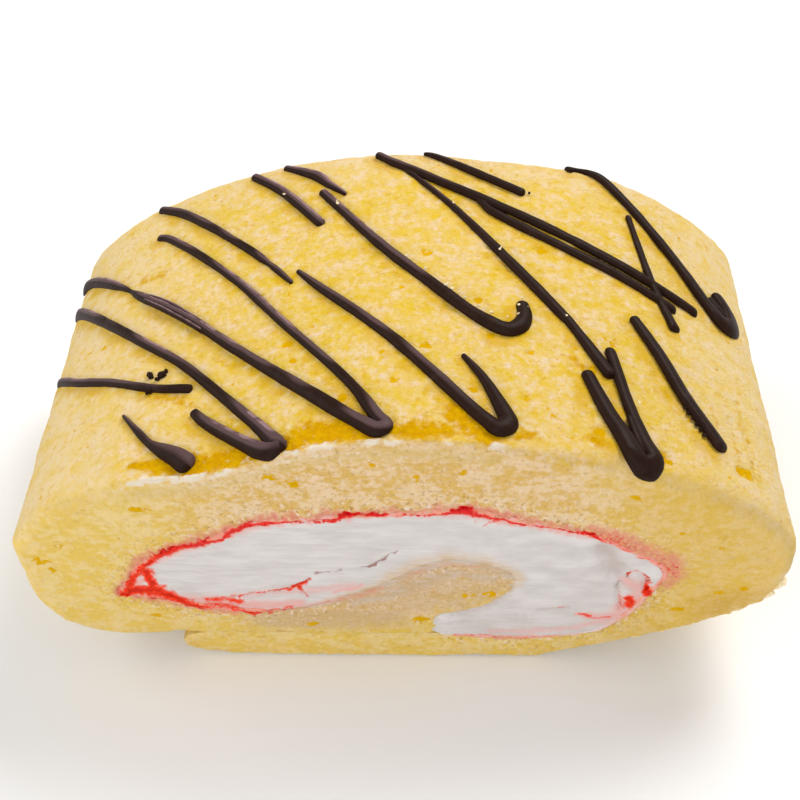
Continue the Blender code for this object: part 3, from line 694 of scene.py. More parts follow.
def cut_flecks(points):
    """Golden flecks in the front cut face."""
    flecks = np.zeros(len(points))
    for x, z, wide, high in CUT_FLECKS:
        gap = ((points[:, 0] - x) / wide) ** 2 + ((points[:, 2] - z) / high) ** 2
        flecks = np.maximum(flecks, np.clip(1.0 - 0.5 * gap, 0.0, 1.0))
    return flecks * (points[:, 1] < 0)


def fillet(depth, radius):
    """Turn of a rounded edge, from an eighth of a circle to flat, at depths from the edge."""
    return math.pi / 4 * (1.0 - np.clip(depth / radius, 0.0, 1.0))


def section_frame(sheet, rows, y):
    """Skin points, unit vectors into the sheet, thickness and edge radius at a place along the roll."""
    skin = lifted(sheet.skin[rows], y)
    inward = sheet.inner[rows] - skin
    thickness = np.linalg.norm(inward, axis=1)
    radius = np.minimum(sheet.radius[rows], 0.3 * thickness)
    return skin, inward / thickness[:, None], thickness, radius


def cut_face(sheet, side):
    """A cut face as a grid: places, facings, share of skin, distance from the skin, and to the cream."""
    # The columns lie closer together towards the skin and the cream
    columns = np.linspace(0.0, 1.0, CUT_COLUMNS + 1)
    columns = 0.5 * columns + 0.5 * (0.5 - 0.5 * np.cos(math.pi * columns))
    skin, inward, thickness, radius = section_frame(sheet, slice(None), side * HALF)
    inward, radius = inward[:, None, :], radius[:, None]
    along = thickness[:, None] * columns
    turn = fillet(along, radius)
    depth = np.where(along < radius, radius * (1.0 - np.sin(turn)), along)
    flat = skin[:, None, :] + inward * depth[:, :, None]
    y = side * (HALF - radius * (1.0 - np.cos(turn)))
    facing = [-inward[:, :, 0] * np.sin(turn), side * np.cos(turn), -inward[:, :, 1] * np.sin(turn)]
    return np.stack([flat[:, :, 0], y, flat[:, :, 1], *facing, np.sin(turn) ** 2, -along,
                     thickness[:, None] - along], axis=2)


def skin_face(sheet):
    """The visible skin as a grid between its cut edges, in the same columns as a cut face."""
    blocks = []
    for y in np.linspace(-HALF, HALF, int(LENGTH / SKIN_STEP) + 1)[1:-1]:
        skin, inward, thickness, radius = section_frame(sheet, sheet.on_wall, y)
        side = math.copysign(1.0, y)
        inside = np.full(len(skin), HALF - abs(y))
        turn = fillet(inside, radius)
        place = np.where(inside < radius, radius * (1.0 - np.sin(turn)), inside)
        flat = skin + inward * (radius * (1.0 - np.cos(turn)))[:, None]
        facing = [-inward[:, 0] * np.cos(turn), side * np.sin(turn), -inward[:, 1] * np.cos(turn)]
        blocks.append(np.stack([flat[:, 0], side * (HALF - place), flat[:, 1], *facing,
                                np.cos(turn) ** 2, inside, thickness], axis=1))
    return np.stack(blocks, axis=1)


def sponge_faces(sheet, front, back, skin):
    """Faces that close the sheet: cut faces, skin, cream side and both ends."""
    wall = np.flatnonzero(sheet.on_wall)
    first, last = wall[0], wall[-1]
    whole = np.hstack([front[wall, :1], skin, back[wall, :1]])
    faces = [grid_faces(front), grid_faces(back), grid_faces(whole)]
    for edge in (np.s_[:, -1], np.s_[0], np.s_[-1], np.s_[:first, 0], np.s_[last + 1:, 0]):
        faces.append(grid_faces(np.stack([front[edge], back[edge]], axis=1)))
    quads = np.vstack(faces).tolist()
    quads.append([*whole[0], back[first - 1, 0], front[first - 1, 0]])
    quads.append([*whole[-1], back[last + 1, 0], front[last + 1, 0]])
    return quads


def crimson_share(points):
    """1 where the jam is crimson, along the top, and 0 where it is orange red."""
    return rise(points[:, 2], 22.0, 28.0) * rise(points[:, 0], 30.0, 26.0)


def jam_stains(points):
    """Red and pink smears of jam, painted alike on all that they run over."""
    return {
        "red": painted(points, RED_SMEARS, 310),
        "pink": painted(points, PINK_SMEARS, 300),
        "crimson": crimson_share(points),
    }


def sponge_paint(points, from_edge, to_cream, stain_reach, pits):
    """Colour attributes at points; the distance from the cut edge is positive on the skin."""
    x, y, z = points.T
    lip = lip_window(points)
    wander = layered_noise(points, (0.3, 1.2, 75), (0.3, 4.0, 76))
    skin = smoothstep(0.5 + from_edge / (7.0 - 6.2 * lip) + wander * (1.0 - 0.5 * lip))
    wave = 0.9 + layered_noise(points, (0.6, 0.8, 71), (0.5, 2.5, 72))
    stain = np.clip(1.0 - to_cream / np.maximum(stain_reach * wave, 0.01), 0.0, 1.0)
    stain *= stain_reach > 0.05
    broken = smoothstep(0.5 + layered_noise(points, (0.9, 3.2, 77), (0.6, 1.0, 78)))
    lower = smoothstep(0.1 + lattice_noise(points, (5.0, 2.0, 2.0), 79))
    lines = np.maximum(np.exp(-((from_edge - 0.1 + 1.3 * wander) / 0.9) ** 2) * broken,
                       0.55 * np.exp(-((from_edge + 1.8 + wander) / 0.8) ** 2) * lower)
    middle = window(x, -14.0, 20.0, 5.0) * window(z, 9.0, 25.0, 4.0)
    sides = np.maximum(rise(np.abs(x), 18.0, 40.0), rise(z, 15.0, 7.0))
    jam = jam_stains(points)
    cut = 1.0 - skin
    return {
        "skin": skin,
        "lip": lip * lines,
        "rim": lip * window(-from_edge, 0.0, 5.0, 2.5),
        # painted shade on the skin beside the strokes
        "painted_shade": painted_stroke_shade(points) * (z > WIDEST_Z) * skin,
        "gold": painted(points, GOLD_PATCHES, 34, (0, 1)) * (z > WIDEST_Z) * skin,
        "fleck": np.maximum(pits * skin, cut_flecks(points) * cut),
        "pale": np.maximum.reduce([rise(x, -20.0, -54.0), rise(x, 32.0, 54.0), rise(y, 22.0, 31.0)]),
        "yellow": sides * (1.0 - middle),
        # painted shade on the crumb: darker towards the lower right, greyer in the middle of the roll
        "deep": np.maximum(rise(x, 34.0, 48.0) * rise(z, 23.0, 13.0), 0.4 * rise(x, 22.0, 38.0)),
        "inner": np.maximum(0.68 * middle,
                            0.9 * window(x, -26.0, 4.0, 6.0) * window(z, 6.0, 13.0, 2.0)),
        "pink": np.maximum(stain ** 0.7, jam["pink"]) * cut,
        "red": jam["red"] * cut,
        "crimson": jam["crimson"],
        "wiped": painted(points, WIPED_SMEARS, 320) * cut,
        "torn": np.exp(-(to_cream / 3.0) ** 2) + 0.4 * (1.0 - sides),
    }


def build_sponge(sheet, material):
    """The sheet of sponge: baked skin, and cut faces with pores, golden flecks and jam stains."""
    grids = [cut_face(sheet, -1), cut_face(sheet, 1), skin_face(sheet)]
    table = np.vstack([grid.reshape(-1, 9) for grid in grids])
    points, facing, skin_share, from_edge, to_cream = (
        table[:, :3], table[:, 3:6], table[:, 6], table[:, 7], table[:, 8])
    size = grids[0].shape[0] * grids[0].shape[1]
    rows = [slice(0, size), slice(size, 2 * size), slice(2 * size, len(points))]
    near_edge = 2.0 * np.sqrt(skin_share * (1.0 - skin_share))
    bumps, pits = skin_relief(points, near_edge)
    cut_bumps = np.zeros(len(points))
    pores = np.zeros(len(points))
    on_itself = (points[:, 2] < TAIL_TOP) & (points[:, 0] < CREAM_END_X)
    to_cream = np.where(on_itself, FAR_FROM_CREAM, to_cream)
    for seed, part in zip((41, 61), rows):
        cut_bumps[part], pores[part] = cut_relief(points[part], near_edge[part], to_cream[part], seed)
    reach = np.zeros(len(points))
    reach[:2 * size] = np.tile(np.repeat(sheet.stain, CUT_COLUMNS + 1), 2)
    moved = points + facing * (bumps * skin_share + cut_bumps * (1.0 - skin_share))[:, None]
    attributes = sponge_paint(points, from_edge, to_cream, reach, pits)
    attributes["pore"] = pores
    index = [numbered(grid, part.start) for part, grid in zip(rows, grids)]
    make_piece("sponge_sheet", moved, sponge_faces(sheet, *index), ["sponge"],
               material, attributes)


# ---------------------------------------------------------------- fillings

def build_jam(sheet, material):
    """The line of jam, a wet bead that stands a little out of both cut faces."""
    jammed = np.flatnonzero(sheet.jam > 0)
    columns = np.linspace(0.0, 1.0, JAM_COLUMNS + 1)
    width = JAM_SHARE * sheet.jam[jammed] + sum(JAM_OVERLAP)
    across = columns * width[:, None] - JAM_OVERLAP[0]
    flat = sheet.inner[jammed][:, None, :] + sheet.away[jammed][:, None, :] * across[:, :, None]
    rings = []
    for side in (-1, 1):
        at = on_cut(flat, side)
        line = at.reshape(-1, 3)
        lumps = layered_noise(line, (0.14, 0.8, 81 + side), (0.14, 2.4, 85 + side))
        bulge = 0.2 * np.sin(math.pi * columns)[None, :] - 0.3 + lumps.reshape(across.shape)
        at[:, :, 1] += side * np.minimum(bulge, 0.0)
        rings.append(at if side < 0 else at[:, ::-1])
    grid = np.concatenate(rings, axis=1)
    points = grid.reshape(-1, 3)
    creamy = rise(points[:, 0], 20.0, 28.0) * rise(points[:, 2], 18.0, 14.0)
    attributes = {**jam_stains(points), "creamy": creamy}
    faces = tube_faces(numbered(grid))
    make_piece("jam_line", points, faces, ["jam"], material, attributes)


def cream_outline(sheet):
    """The cream's two long edges: under the jam, and along the tongue and round its tip."""
    bare = sheet.on_tongue & (sheet.jam == 0)
    edge = sheet.inner + sheet.away * np.where(bare, -TUCK, JAM_SHARE * sheet.jam)[:, None]
    corner = np.flatnonzero(sheet.on_wall)[np.argmin(edge[sheet.on_wall][:, 0])]
    outer = edge[corner:]
    outer = outer[(~sheet.on_tail[corner:]) | (outer[:, 0] > CREAM_END_X)]
    below = sheet.on_tongue & (sheet.skin[:, 1] > NOTCH_Z)
    under = sheet.skin[below] - left_normals(sheet.skin)[below] * TUCK
    return outer, np.vstack([edge[:corner][::-1], under])


def cream_paint(points):
    """Colour attributes of the cream at points."""
    return {
        **jam_stains(points),
        "wiped": painted(points, WIPED_SMEARS, 320),
        # painted shade in the hollows of the cream
        "painted_shade": painted(points, CREAM_PAINTED_SHADES, 340),
        "crack": painted(points, CREAM_CRACKS, 350),
        "smooth": rise(points[:, 0], -8.0, 16.0),
    }


def build_cream(sheet, material):
    """The whipped cream: smooth, with drag marks, fine cracks and a pink wash by the jam."""
    outer, inner = cream_outline(sheet)
    count = int(run_length(outer)[-1] / CREAM_STEP)
    edges = []
    for line in (outer, inner):
        reach = run_length(line)
        edges.append(resample(line, reach, np.linspace(0.0, reach[-1], count)))
    share = np.linspace(0.0, 1.0, CREAM_COLUMNS + 1)[None, :, None]
    flat = edges[0][:, None, :] * (1.0 - share) + edges[1][:, None, :] * share
    blocks, paint = [], []
    for side in (-1, 1):
        at = on_cut(flat, side).reshape(-1, 3)
        paint.append(cream_paint(at))
        relief = layered_noise(at, (0.07, (7.0, 4.0, 1.1), 95 + side), (0.14, (8.0, 4.0, 3.0), 99))
        level = painted(at, TONGUE_BORDER, 322)
        relief = (relief + raised(at, CREAM_RELIEF, 330)) * (1.0 - level) - 0.03 * level
        at[:, 1] += side * np.minimum(relief - CUT_SUNK, 0.0)
        blocks.append(at)
    front = numbered(flat)
    back = numbered(flat, front.size)
    faces = [grid_faces(front), grid_faces(back)]
    for edge in (np.s_[:, 0], np.s_[:, -1], np.s_[0, :], np.s_[-1, :]):
        faces.append(grid_faces(np.stack([front[edge], back[edge]], axis=1)))
    attributes = {key: np.concatenate([part[key] for part in paint]) for key in paint[0]}
    make_piece("whipped_cream", np.vstack(blocks), np.vstack(faces), ["cream"],
               material, attributes)


# ---------------------------------------------------------------- drizzle

def stroke_line(stroke):
    """Places, widths and directions of the rings along a stroke, rounded at both ends."""
    rows = spline(stroke, 20)
    ends = rows[[0, -1], :]
    run = np.stack([rows[0, :2] - rows[1, :2], rows[-1, :2] - rows[-2, :2]])
    run /= np.linalg.norm(run, axis=1)[:, None]
    ends[:, :2] += DRIZZLE_OVERRUN * ends[:, 2:] * run
    rows = np.vstack([ends[:1], rows, ends[1:]])
    reach = run_length(rows[:, :2])
    nose = DRIZZLE_NOSE * rows[[0, -1], 2]
    at = np.linspace(0.0, reach[-1], int(reach[-1] / DRIZZLE_STEP) + 2)
    extra = np.array(NOSE_RINGS)
    at = np.unique(np.concatenate([at, nose[0] * extra, reach[-1] - nose[1] * extra]))
    line = resample(rows, reach, at)
    near_end = np.clip(np.minimum(at / nose[0], (reach[-1] - at) / nose[1]), 0.0, 1.0)
    scale = np.maximum((1.0 - (1.0 - near_end) ** NOSE_POWER) ** (1.0 / NOSE_POWER), NOSE_TIP)
    run = np.gradient(line[:, :2], axis=0)
    return line, run / np.linalg.norm(run, axis=1)[:, None], scale


def edge_drop(sheet, x, y):
    """How far the rounded edge of a cut face lies below the skin at places seen from above."""
    top = sheet.on_wall & (sheet.skin[:, 1] > WIDEST_Z)
    order = np.argsort(sheet.skin[top, 0])
    radius = np.interp(x, sheet.skin[top, 0][order], sheet.radius[top][order])
    inside = np.clip(radius - (HALF - np.abs(y)), 0.0, 0.9 * radius)
    return radius - np.sqrt(radius ** 2 - inside ** 2)


def stroke_rings(sheet, stroke, seed, base):
    """Grid of points round and along one stroke, lying a little above the skin."""
    line, run, scale = stroke_line(stroke)
    turn = np.linspace(0.0, 2 * math.pi, DRIZZLE_SIDES, endpoint=False)
    middle = np.stack([line[:, 0], line[:, 1], np.zeros(len(line))], axis=1)
    swell = 1.0 + layered_noise(middle, (0.06, 3.0, seed), (0.03, 1.6, seed + 1))
    width = (line[:, 2] * scale * swell)[:, None]
    sideways = np.cos(turn)[None, :]
    across = sideways * width / 2
    x = line[:, :1] - run[:, 1:] * across
    y = np.clip(line[:, 1:2] + run[:, :1] * across, DRIZZLE_INSET - HALF, HALF - DRIZZLE_INSET)
    upper = np.where(turn < math.pi, np.sin(turn), 0.0)[None, :]
    # How much longer the skin is than its run, from its heights 0.2 mm apart
    steep = np.hypot(1.0, 5.0 * (top_height(x + 0.1, y) - top_height(x - 0.1, y)))
    up = upper * width * DRIZZLE_RISE * np.minimum(steep, DRIZZLE_STEEPEST)
    down = np.where(turn >= math.pi, np.sin(turn), 0.0)[None, :] * DRIZZLE_ROOT
    skin = top_height(x, y) - edge_drop(sheet, x, y)
    grid = np.stack([x, y, skin + up + down + base * scale[:, None]], axis=2)
    rough = lattice_noise(grid.reshape(-1, 3), 1.8, seed + 2).reshape(x.shape)
    grid[:, :, 2] += 0.06 * rough * upper
    # How far each point faces the key light, for the painted sheen
    to_light = PAINTED_SHEEN_SIDE[1] * run[:, :1] * sideways - PAINTED_SHEEN_SIDE[0] * run[:, 1:] * sideways
    return grid, np.clip((to_light + PAINTED_SHEEN_SIDE[2] * upper - 0.3) / 0.7, 0.0, 1.0)


def build_drizzle(sheet, material):
    """All strokes of chocolate as one piece."""
    points, faces, painted_sheen, start = [], [], [], 0
    strokes = [(stroke, 0.0) for stroke in DRIZZLE] + [(stroke, RIDGE_BASE) for stroke in RIDGES]
    for number, (stroke, base) in enumerate(strokes):
        grid, lit = stroke_rings(sheet, stroke, 200 + 3 * number, base)
        index = numbered(grid, start)
        faces += tube_faces(index)
        points.append(grid.reshape(-1, 3))
        painted_sheen.append(lit.ravel())
        start = index[-1, -1] + 1
    points = np.vstack(points)
    # Painted sheen, strongest on the strokes to the left and broken into patches
    painted_sheen = np.concatenate(painted_sheen) * (0.06 + 0.94 * rise(points[:, 0], 16.0, -12.0))
    painted_sheen *= smoothstep(0.75 + 0.8 * lattice_noise(points, 6.0, 180))
    make_piece("chocolate_drizzle", points, faces, ["sponge"], material,
               {"painted_sheen": painted_sheen})


# ---------------------------------------------------------------- crumbs

def blob_shape(detail):
    """Points and faces of a round blob of radius 1."""
    shape = bmesh.new()
    bmesh.ops.create_icosphere(shape, subdivisions=detail, radius=1.0)
    points = np.array([vertex.co[:] for vertex in shape.verts])
    faces = np.array([[vertex.index for vertex in face.verts] for face in shape.faces])
    shape.free()
    return points, faces


def build_bits(name, places, sizes, material, seed):
    """Small uneven bits as one piece, from their places and sizes."""
    ball, ball_faces = blob_shape(3)
    rng = np.random.default_rng(seed)
    points, faces = [], []
    for place, size in zip(places, sizes):
        spots = ball + rng.uniform(-50, 50, 3)
        reach = 1.0 + layered_noise(spots, (0.35, 0.8, seed), (0.2, 0.35, seed + 1))
        stretch = rng.uniform(0.7, 1.3, 3)
        faces.append(ball_faces + len(ball) * len(points))
        points.append(np.asarray(place) + ball * reach[:, None] * stretch * size)
    make_piece(name, np.vstack(points), np.vstack(faces), None, material)


def build_specks(material):
    """Specks of chocolate beside the strokes."""
    flat = np.array(CHOCOLATE_SPECKS)
    places = np.column_stack([flat, top_height(flat[:, 0], flat[:, 1]) + 0.1])
    sizes = np.random.default_rng(8).uniform(*SPECK_RADII, len(places))
    build_bits("chocolate_specks", places, sizes, material, 401)


def build_crumbs(sheet, material):
    """Pale crumbs: on the chocolate, and hanging on the lower right of the front cut face."""
    rng = np.random.default_rng(9)
    flat = np.array(PALE_SPECKS)
    height = np.minimum(top_height(flat[:, 0], flat[:, 1]) + 0.55, cad_box[1][2] / MM - 0.4)
    places = [np.column_stack([flat, height])]
    sizes = [rng.uniform(*SUGAR_RADII, len(flat))]
    low = sheet.on_wall & (sheet.skin[:, 0] > HANGING_X) & (sheet.skin[:, 1] < HANGING_Z)
    picks = rng.choice(np.flatnonzero(low), HANGING_CRUMBS)
    inward = sheet.inner[picks] - sheet.skin[picks]
    inward /= np.linalg.norm(inward, axis=1)[:, None]
    edge = sheet.skin[picks] + inward * rng.uniform(-0.1, 1.2, len(picks))[:, None]
    places.append(np.column_stack([edge[:, 0], rng.uniform(0.85, 1.6, len(picks)) - HALF, edge[:, 1]]))
    sizes.append(rng.uniform(*HANGING_RADII, len(picks)))
    build_bits("pale_crumbs", np.vstack(places), np.concatenate(sizes), material, 411)


# ---------------------------------------------------------------- materials

class Nodes:
    """Short calls for building one material's node tree."""

    def __init__(self, name):
        self.material = bpy.data.materials.new(name)
        self.material.use_nodes = True
        self.tree = self.material.node_tree
        self.shader = self.tree.nodes["Principled BSDF"]
        self.place = self.tree.nodes.new("ShaderNodeTexCoord").outputs["Object"]

    def link(self, source, target):
        """Join one socket to another."""
        self.tree.links.new(source, target)

    def feed(self, target, value):
        """Set an input from another node, a colour or a number."""
        if isinstance(value, bpy.types.NodeSocket):
            self.link(value, target)
        elif isinstance(value, (tuple, list)):
            target.default_value = (*value, 1.0)
        else:
            target.default_value = value

    def attribute(self, name):
        """Read what is painted on the mesh under a name."""
        node = self.tree.nodes.new("ShaderNodeAttribute")
        node.attribute_name = name
        return node.outputs["Fac"]

    def noise(self, size, detail=2.0, rough=0.5, shift=0.0, drag=1.0):
        """Noise with features of a size, moved on by a shift, or dragged out along X by 1 / drag."""
        place = self.place
        if shift or drag != 1.0:
            mapping = self.tree.nodes.new("ShaderNodeMapping")
            mapping.inputs["Location"].default_value = (shift * MM,) * 3
            mapping.inputs["Scale"].default_value = (drag, 1.0, 1.0)
            self.link(place, mapping.inputs["Vector"])
            place = mapping.outputs["Vector"]
        node = self.tree.nodes.new("ShaderNodeTexNoise")
        node.inputs["Scale"].default_value = 1.0 / (size * MM)
        node.inputs["Detail"].default_value = detail
        node.inputs["Roughness"].default_value = rough
        self.link(place, node.inputs["Vector"])
        return node.outputs["Fac"]

    def ramp(self, value, low, high):
        """Rise from 0 to 1 as a value goes from low to high."""
        node = self.tree.nodes.new("ShaderNodeMapRange")
        node.interpolation_type = "SMOOTHSTEP"
        node.inputs["From Min"].default_value = low
        node.inputs["From Max"].default_value = high
        self.link(value, node.inputs["Value"])
        return node.outputs["Result"]

    def math(self, kind, *values):
        """Do one kind of sum on nodes or numbers."""
        node = self.tree.nodes.new("ShaderNodeMath")
        node.operation = kind
        for socket, value in zip(node.inputs, values):
            self.feed(socket, value)
        return node.outputs[0]

    def times(self, first, second):
        return self.math("MULTIPLY", first, second)

    def plus(self, first, second):
        return self.math("ADD", first, second)

    def scaled(self, value, factor, shift):
        """A value times a factor, and then moved by a shift."""
        return self.math("MULTIPLY_ADD", value, factor, shift)

    def level(self, name, low, high):
        """Rise from 0 to 1 as what is painted on the mesh goes from low to high."""
        return self.ramp(self.attribute(name), low, high)

    def mix(self, share, first, second):
        """Blend two colours, with the share of the second."""
        node = self.tree.nodes.new("ShaderNodeMix")
        node.data_type = "RGBA"
        self.feed(node.inputs["Factor"], share)
        self.feed(node.inputs["A"], first)
        self.feed(node.inputs["B"], second)
        return node.outputs["Result"]

    def bump(self, height, strength, depth, normal=None):
        """Bump with a depth in millimetres."""
        node = self.tree.nodes.new("ShaderNodeBump")
        node.inputs["Strength"].default_value = strength
        node.inputs["Distance"].default_value = depth * MM
        self.link(height, node.inputs["Height"])
        if normal:
            self.link(normal, node.inputs["Normal"])
        return node.outputs["Normal"]

    def finish(self, colour, roughness, normal=None, **values):
        """Set the shader's inputs and hand back the material."""
        self.feed(self.shader.inputs["Base Color"], colour)
        self.feed(self.shader.inputs["Roughness"], roughness)
        if normal:
            self.link(normal, self.shader.inputs["Normal"])
        for name, value in values.items():
            self.shader.inputs[name.replace("_", " ")].default_value = value
        return self.material


# Colours of the skin, the crumb, the jam, the cream and the chocolate
SKIN_GOLDEN = (0.87, 0.575, 0.035)
SKIN_YELLOW = (0.89, 0.62, 0.16)
# painted shade on the skin beside the strokes
SKIN_PAINTED_SHADE = (0.78, 0.45, 0.01)
SKIN_PALE = (0.92, 0.69, 0.43)
SOFT_PALE = (0.90, 0.70, 0.40)
GOLD = (0.71, 0.35, 0.0)
GOLD_LIGHT = (0.80, 0.44, 0.0)
GOLD_FLECK = (0.82, 0.45, 0.0)
BEIGE_DARK = (0.83, 0.53, 0.15)
BEIGE_PALE = (0.94, 0.69, 0.415)
YELLOW_DARK = (0.915, 0.63, 0.13)
YELLOW_PALE = (0.965, 0.715, 0.30)
CRUMB_DEEP_SHADE = (0.70, 0.40, 0.065)
CRUMB_INNER = (0.69, 0.485, 0.285)
CRUMB_PORE_SHADE = (0.74, 0.42, 0.08)
# painted shade in hollows and painted highlight on tops of the torn crumb
CRUMB_HOLLOW_SHADE = (0.56, 0.32, 0.12)
CRUMB_TOP_HIGHLIGHT = (1.0, 0.79, 0.64)
RIM_BEIGE = (0.82, 0.60, 0.265)
LIP_WHITE = (0.96, 0.83, 0.67)
CORAL = (0.87, 0.33, 0.22)
JAM_SOFT = (0.86, 0.17, 0.12)
JAM_DEEP = (0.60, 0.001, 0.006)
JAM_BROWN = (0.66, 0.012, 0.0)
JAM_RED = (0.80, 0.02, 0.012)
JAM_BRIGHT = (0.93, 0.035, 0.0)
CREAM_WHITE = (0.765, 0.72, 0.70)
CREAM_GREY = (0.64, 0.595, 0.57)
CREAM_PAINTED_SHADE = (0.46, 0.33, 0.28)
CREAM_CRACK = (0.30, 0.085, 0.06)
WIPED_PALE = (0.74, 0.62, 0.53)
CREAM_PINK = (0.82, 0.45, 0.41)
CHOCOLATE = (0.022, 0.0095, 0.006)
CHOCOLATE_WORN = (0.034, 0.016, 0.012)
# painted sheen: a highlight of the key light painted on the chocolate
CHOCOLATE_PAINTED_SHEEN = (0.30, 0.185, 0.195)

CREAM_DRAG = 0.16           # how much narrower the drag marks in the cream are than long


def ragged_level(nodes, name, size, share, low, high):
    """A painted field with its border broken up by noise of a size in millimetres."""
    broken = nodes.scaled(nodes.noise(size, 4.0), share, -0.5 * share)
    level = nodes.plus(nodes.attribute(name), broken)
    return nodes.ramp(level, low, high)


def with_jam(nodes, colour, pink_colour, granular):
    """Lay the pink and red smears of jam over a colour, in grains from 0 to 1 of their strength."""
    grains = nodes.noise(0.5, 4.0, 0.6)
    specks = nodes.scaled(nodes.ramp(grains, 0.34, 0.58), granular, 1.0 - granular)
    pink = nodes.times(nodes.level("pink", 0.02, 0.75), specks)
    colour = nodes.mix(pink, colour, pink_colour)
    ragged = nodes.scaled(grains, 0.8 + granular, -0.4 - 0.5 * granular)
    uneven = nodes.scaled(nodes.noise(1.6, 3.0, shift=60.0), 1.1, -0.58)
    present = nodes.level("red", 0.02, 0.25)
    broken = nodes.times(nodes.plus(ragged, uneven), present)
    level = nodes.plus(nodes.attribute("red"), broken)
    bright = nodes.mix(nodes.attribute("crimson"), JAM_BRIGHT, JAM_RED)
    deep = nodes.mix(nodes.attribute("crimson"), JAM_BROWN, JAM_DEEP)
    colour = nodes.mix(nodes.times(nodes.ramp(level, 0.12, 0.5), 0.85), colour, JAM_SOFT)
    colour = nodes.mix(nodes.ramp(level, 0.35, 0.75), colour, bright)
    return nodes.mix(nodes.ramp(level, 0.75, 1.15), colour, deep)


def wiped_colour(nodes):
    """Streaks of cream and crumb where the knife has drawn one over the other."""
    streaks = nodes.noise(1.0, 4.0, 0.6, drag=0.3)
    return nodes.mix(nodes.ramp(streaks, 0.35, 0.65), CRUMB_INNER, WIPED_PALE)


def skin_colour(nodes):
    """Baked skin: yellow, with small pale granules and small golden ones."""
    shift = nodes.scaled(nodes.noise(2.6, 3.0), 0.56, -0.28)
    pale = nodes.plus(nodes.noise(1.0, 5.0, 0.66, shift=40.0), shift)
    golden = nodes.math("SUBTRACT", nodes.noise(1.2, 5.0, 0.66), shift)
    skin = nodes.mix(nodes.ramp(pale, 0.42, 0.72), SKIN_YELLOW, SKIN_PALE)
    skin = nodes.mix(nodes.times(nodes.ramp(golden, 0.44, 0.70), 0.9), skin, SKIN_GOLDEN)
    clouds = nodes.ramp(nodes.noise(3.0, 3.0, shift=70.0), 0.35, 0.65)
    clouds = nodes.scaled(clouds, 0.5, 0.3)
    skin = nodes.mix(nodes.times(nodes.attribute("pale"), clouds), skin, SOFT_PALE)
    # Painted shade on the lower left side of each stroke
    painted_shade = nodes.times(ragged_level(nodes, "painted_shade", 1.2, 0.6, 0.15, 0.85), 0.72)
    skin = nodes.mix(painted_shade, skin, SKIN_PAINTED_SHADE)
    grain = nodes.ramp(nodes.noise(0.9, 4.0, 0.6, shift=50.0), 0.38, 0.62)
    gold = nodes.mix(grain, GOLD, GOLD_LIGHT)
    return nodes.mix(ragged_level(nodes, "gold", 0.9, 1.6, 0.0, 0.7), skin, gold)


def crumb_colour(nodes):
    """Cut crumb: fine mottled beige, yellower towards the sides, with painted shade that makes it greyer
    in the roll and darker to the lower right.
    """
    fine = nodes.noise(0.9, 3.5, drag=0.7)
    broad = nodes.scaled(nodes.noise(3.2, 3.0, drag=0.75), 0.85, -0.425)
    grain = nodes.ramp(nodes.plus(fine, broad), 0.34, 0.66)
    beige = nodes.mix(grain, BEIGE_DARK, BEIGE_PALE)
    yellow = nodes.mix(grain, YELLOW_DARK, YELLOW_PALE)
    crumb = nodes.mix(nodes.attribute("yellow"), beige, yellow)
    # Painted shade: darker towards the lower right and greyer in the middle of the roll
    crumb = nodes.mix(nodes.times(nodes.attribute("deep"), 0.8), crumb, CRUMB_DEEP_SHADE)
    crumb = nodes.mix(nodes.times(nodes.attribute("inner"), 0.78), crumb, CRUMB_INNER)
    crumb = nodes.mix(nodes.times(nodes.attribute("rim"), 0.6), crumb, RIM_BEIGE)
    # Painted shade in small hollows and painted highlight on small tops of the torn crumb near the jam
    rough = nodes.scaled(nodes.attribute("torn"), 0.75, 0.12)
    hollow_shade = nodes.ramp(nodes.noise(0.6, 3.0, shift=15.0), 0.54, 0.68)
    crumb = nodes.mix(nodes.times(hollow_shade, rough), crumb, CRUMB_HOLLOW_SHADE)
    top = nodes.ramp(nodes.noise(0.7, 3.0, shift=25.0), 0.54, 0.68)
    crumb = nodes.mix(nodes.times(top, rough), crumb, CRUMB_TOP_HIGHLIGHT)
    # Painted shade in the pores of the cut faces
    return nodes.mix(nodes.times(nodes.attribute("pore"), 0.4), crumb, CRUMB_PORE_SHADE)


def sponge_material():
    """Baked yellow skin with golden flecks, and pale porous crumb stained by the jam."""
    nodes = Nodes("sponge")
    whole = nodes.mix(nodes.attribute("skin"), crumb_colour(nodes), skin_colour(nodes))
    whole = nodes.mix(ragged_level(nodes, "lip", 1.0, 1.8, 0.2, 0.9), whole, LIP_WHITE)
    whole = nodes.mix(ragged_level(nodes, "fleck", 1.0, 2.4, 0.45, 0.75), whole, GOLD_FLECK)
    whole = nodes.mix(nodes.level("wiped", 0.1, 0.95), whole, wiped_colour(nodes))
    whole = with_jam(nodes, whole, CORAL, 0.6)
    fine = nodes.bump(nodes.noise(0.45, 5.0, 0.65, drag=0.7), 1.0, 0.5)
    normal = nodes.bump(nodes.noise(1.3, 3.0), 0.4, 0.4, fine)
    return nodes.finish(whole, 0.85, normal, Subsurface_Weight=0.15, Subsurface_Scale=0.001,
                        Subsurface_Radius=(1.0, 0.55, 0.2), Specular_IOR_Level=0.04)


def jam_material():
    """Wet jam, red where it is thick and pink where it thins out."""
    nodes = Nodes("jam")
    thin = nodes.mix(nodes.ramp(nodes.noise(0.8, 4.0), 0.4, 0.6), CREAM_PINK, CORAL)
    thin = nodes.mix(nodes.ramp(nodes.noise(0.6, 4.0, shift=8.0), 0.55, 0.7), thin, JAM_SOFT)
    thin = nodes.mix(nodes.times(nodes.attribute("creamy"), 0.7), thin, CREAM_WHITE)
    colour = with_jam(nodes, thin, CORAL, 0.6)
    normal = nodes.bump(nodes.noise(0.6, 4.0), 0.7, 0.4)
    return nodes.finish(colour, 0.4, normal, Subsurface_Weight=0.08, Subsurface_Scale=0.0006,
                        Subsurface_Radius=(1.0, 0.2, 0.1), Specular_IOR_Level=0.15)


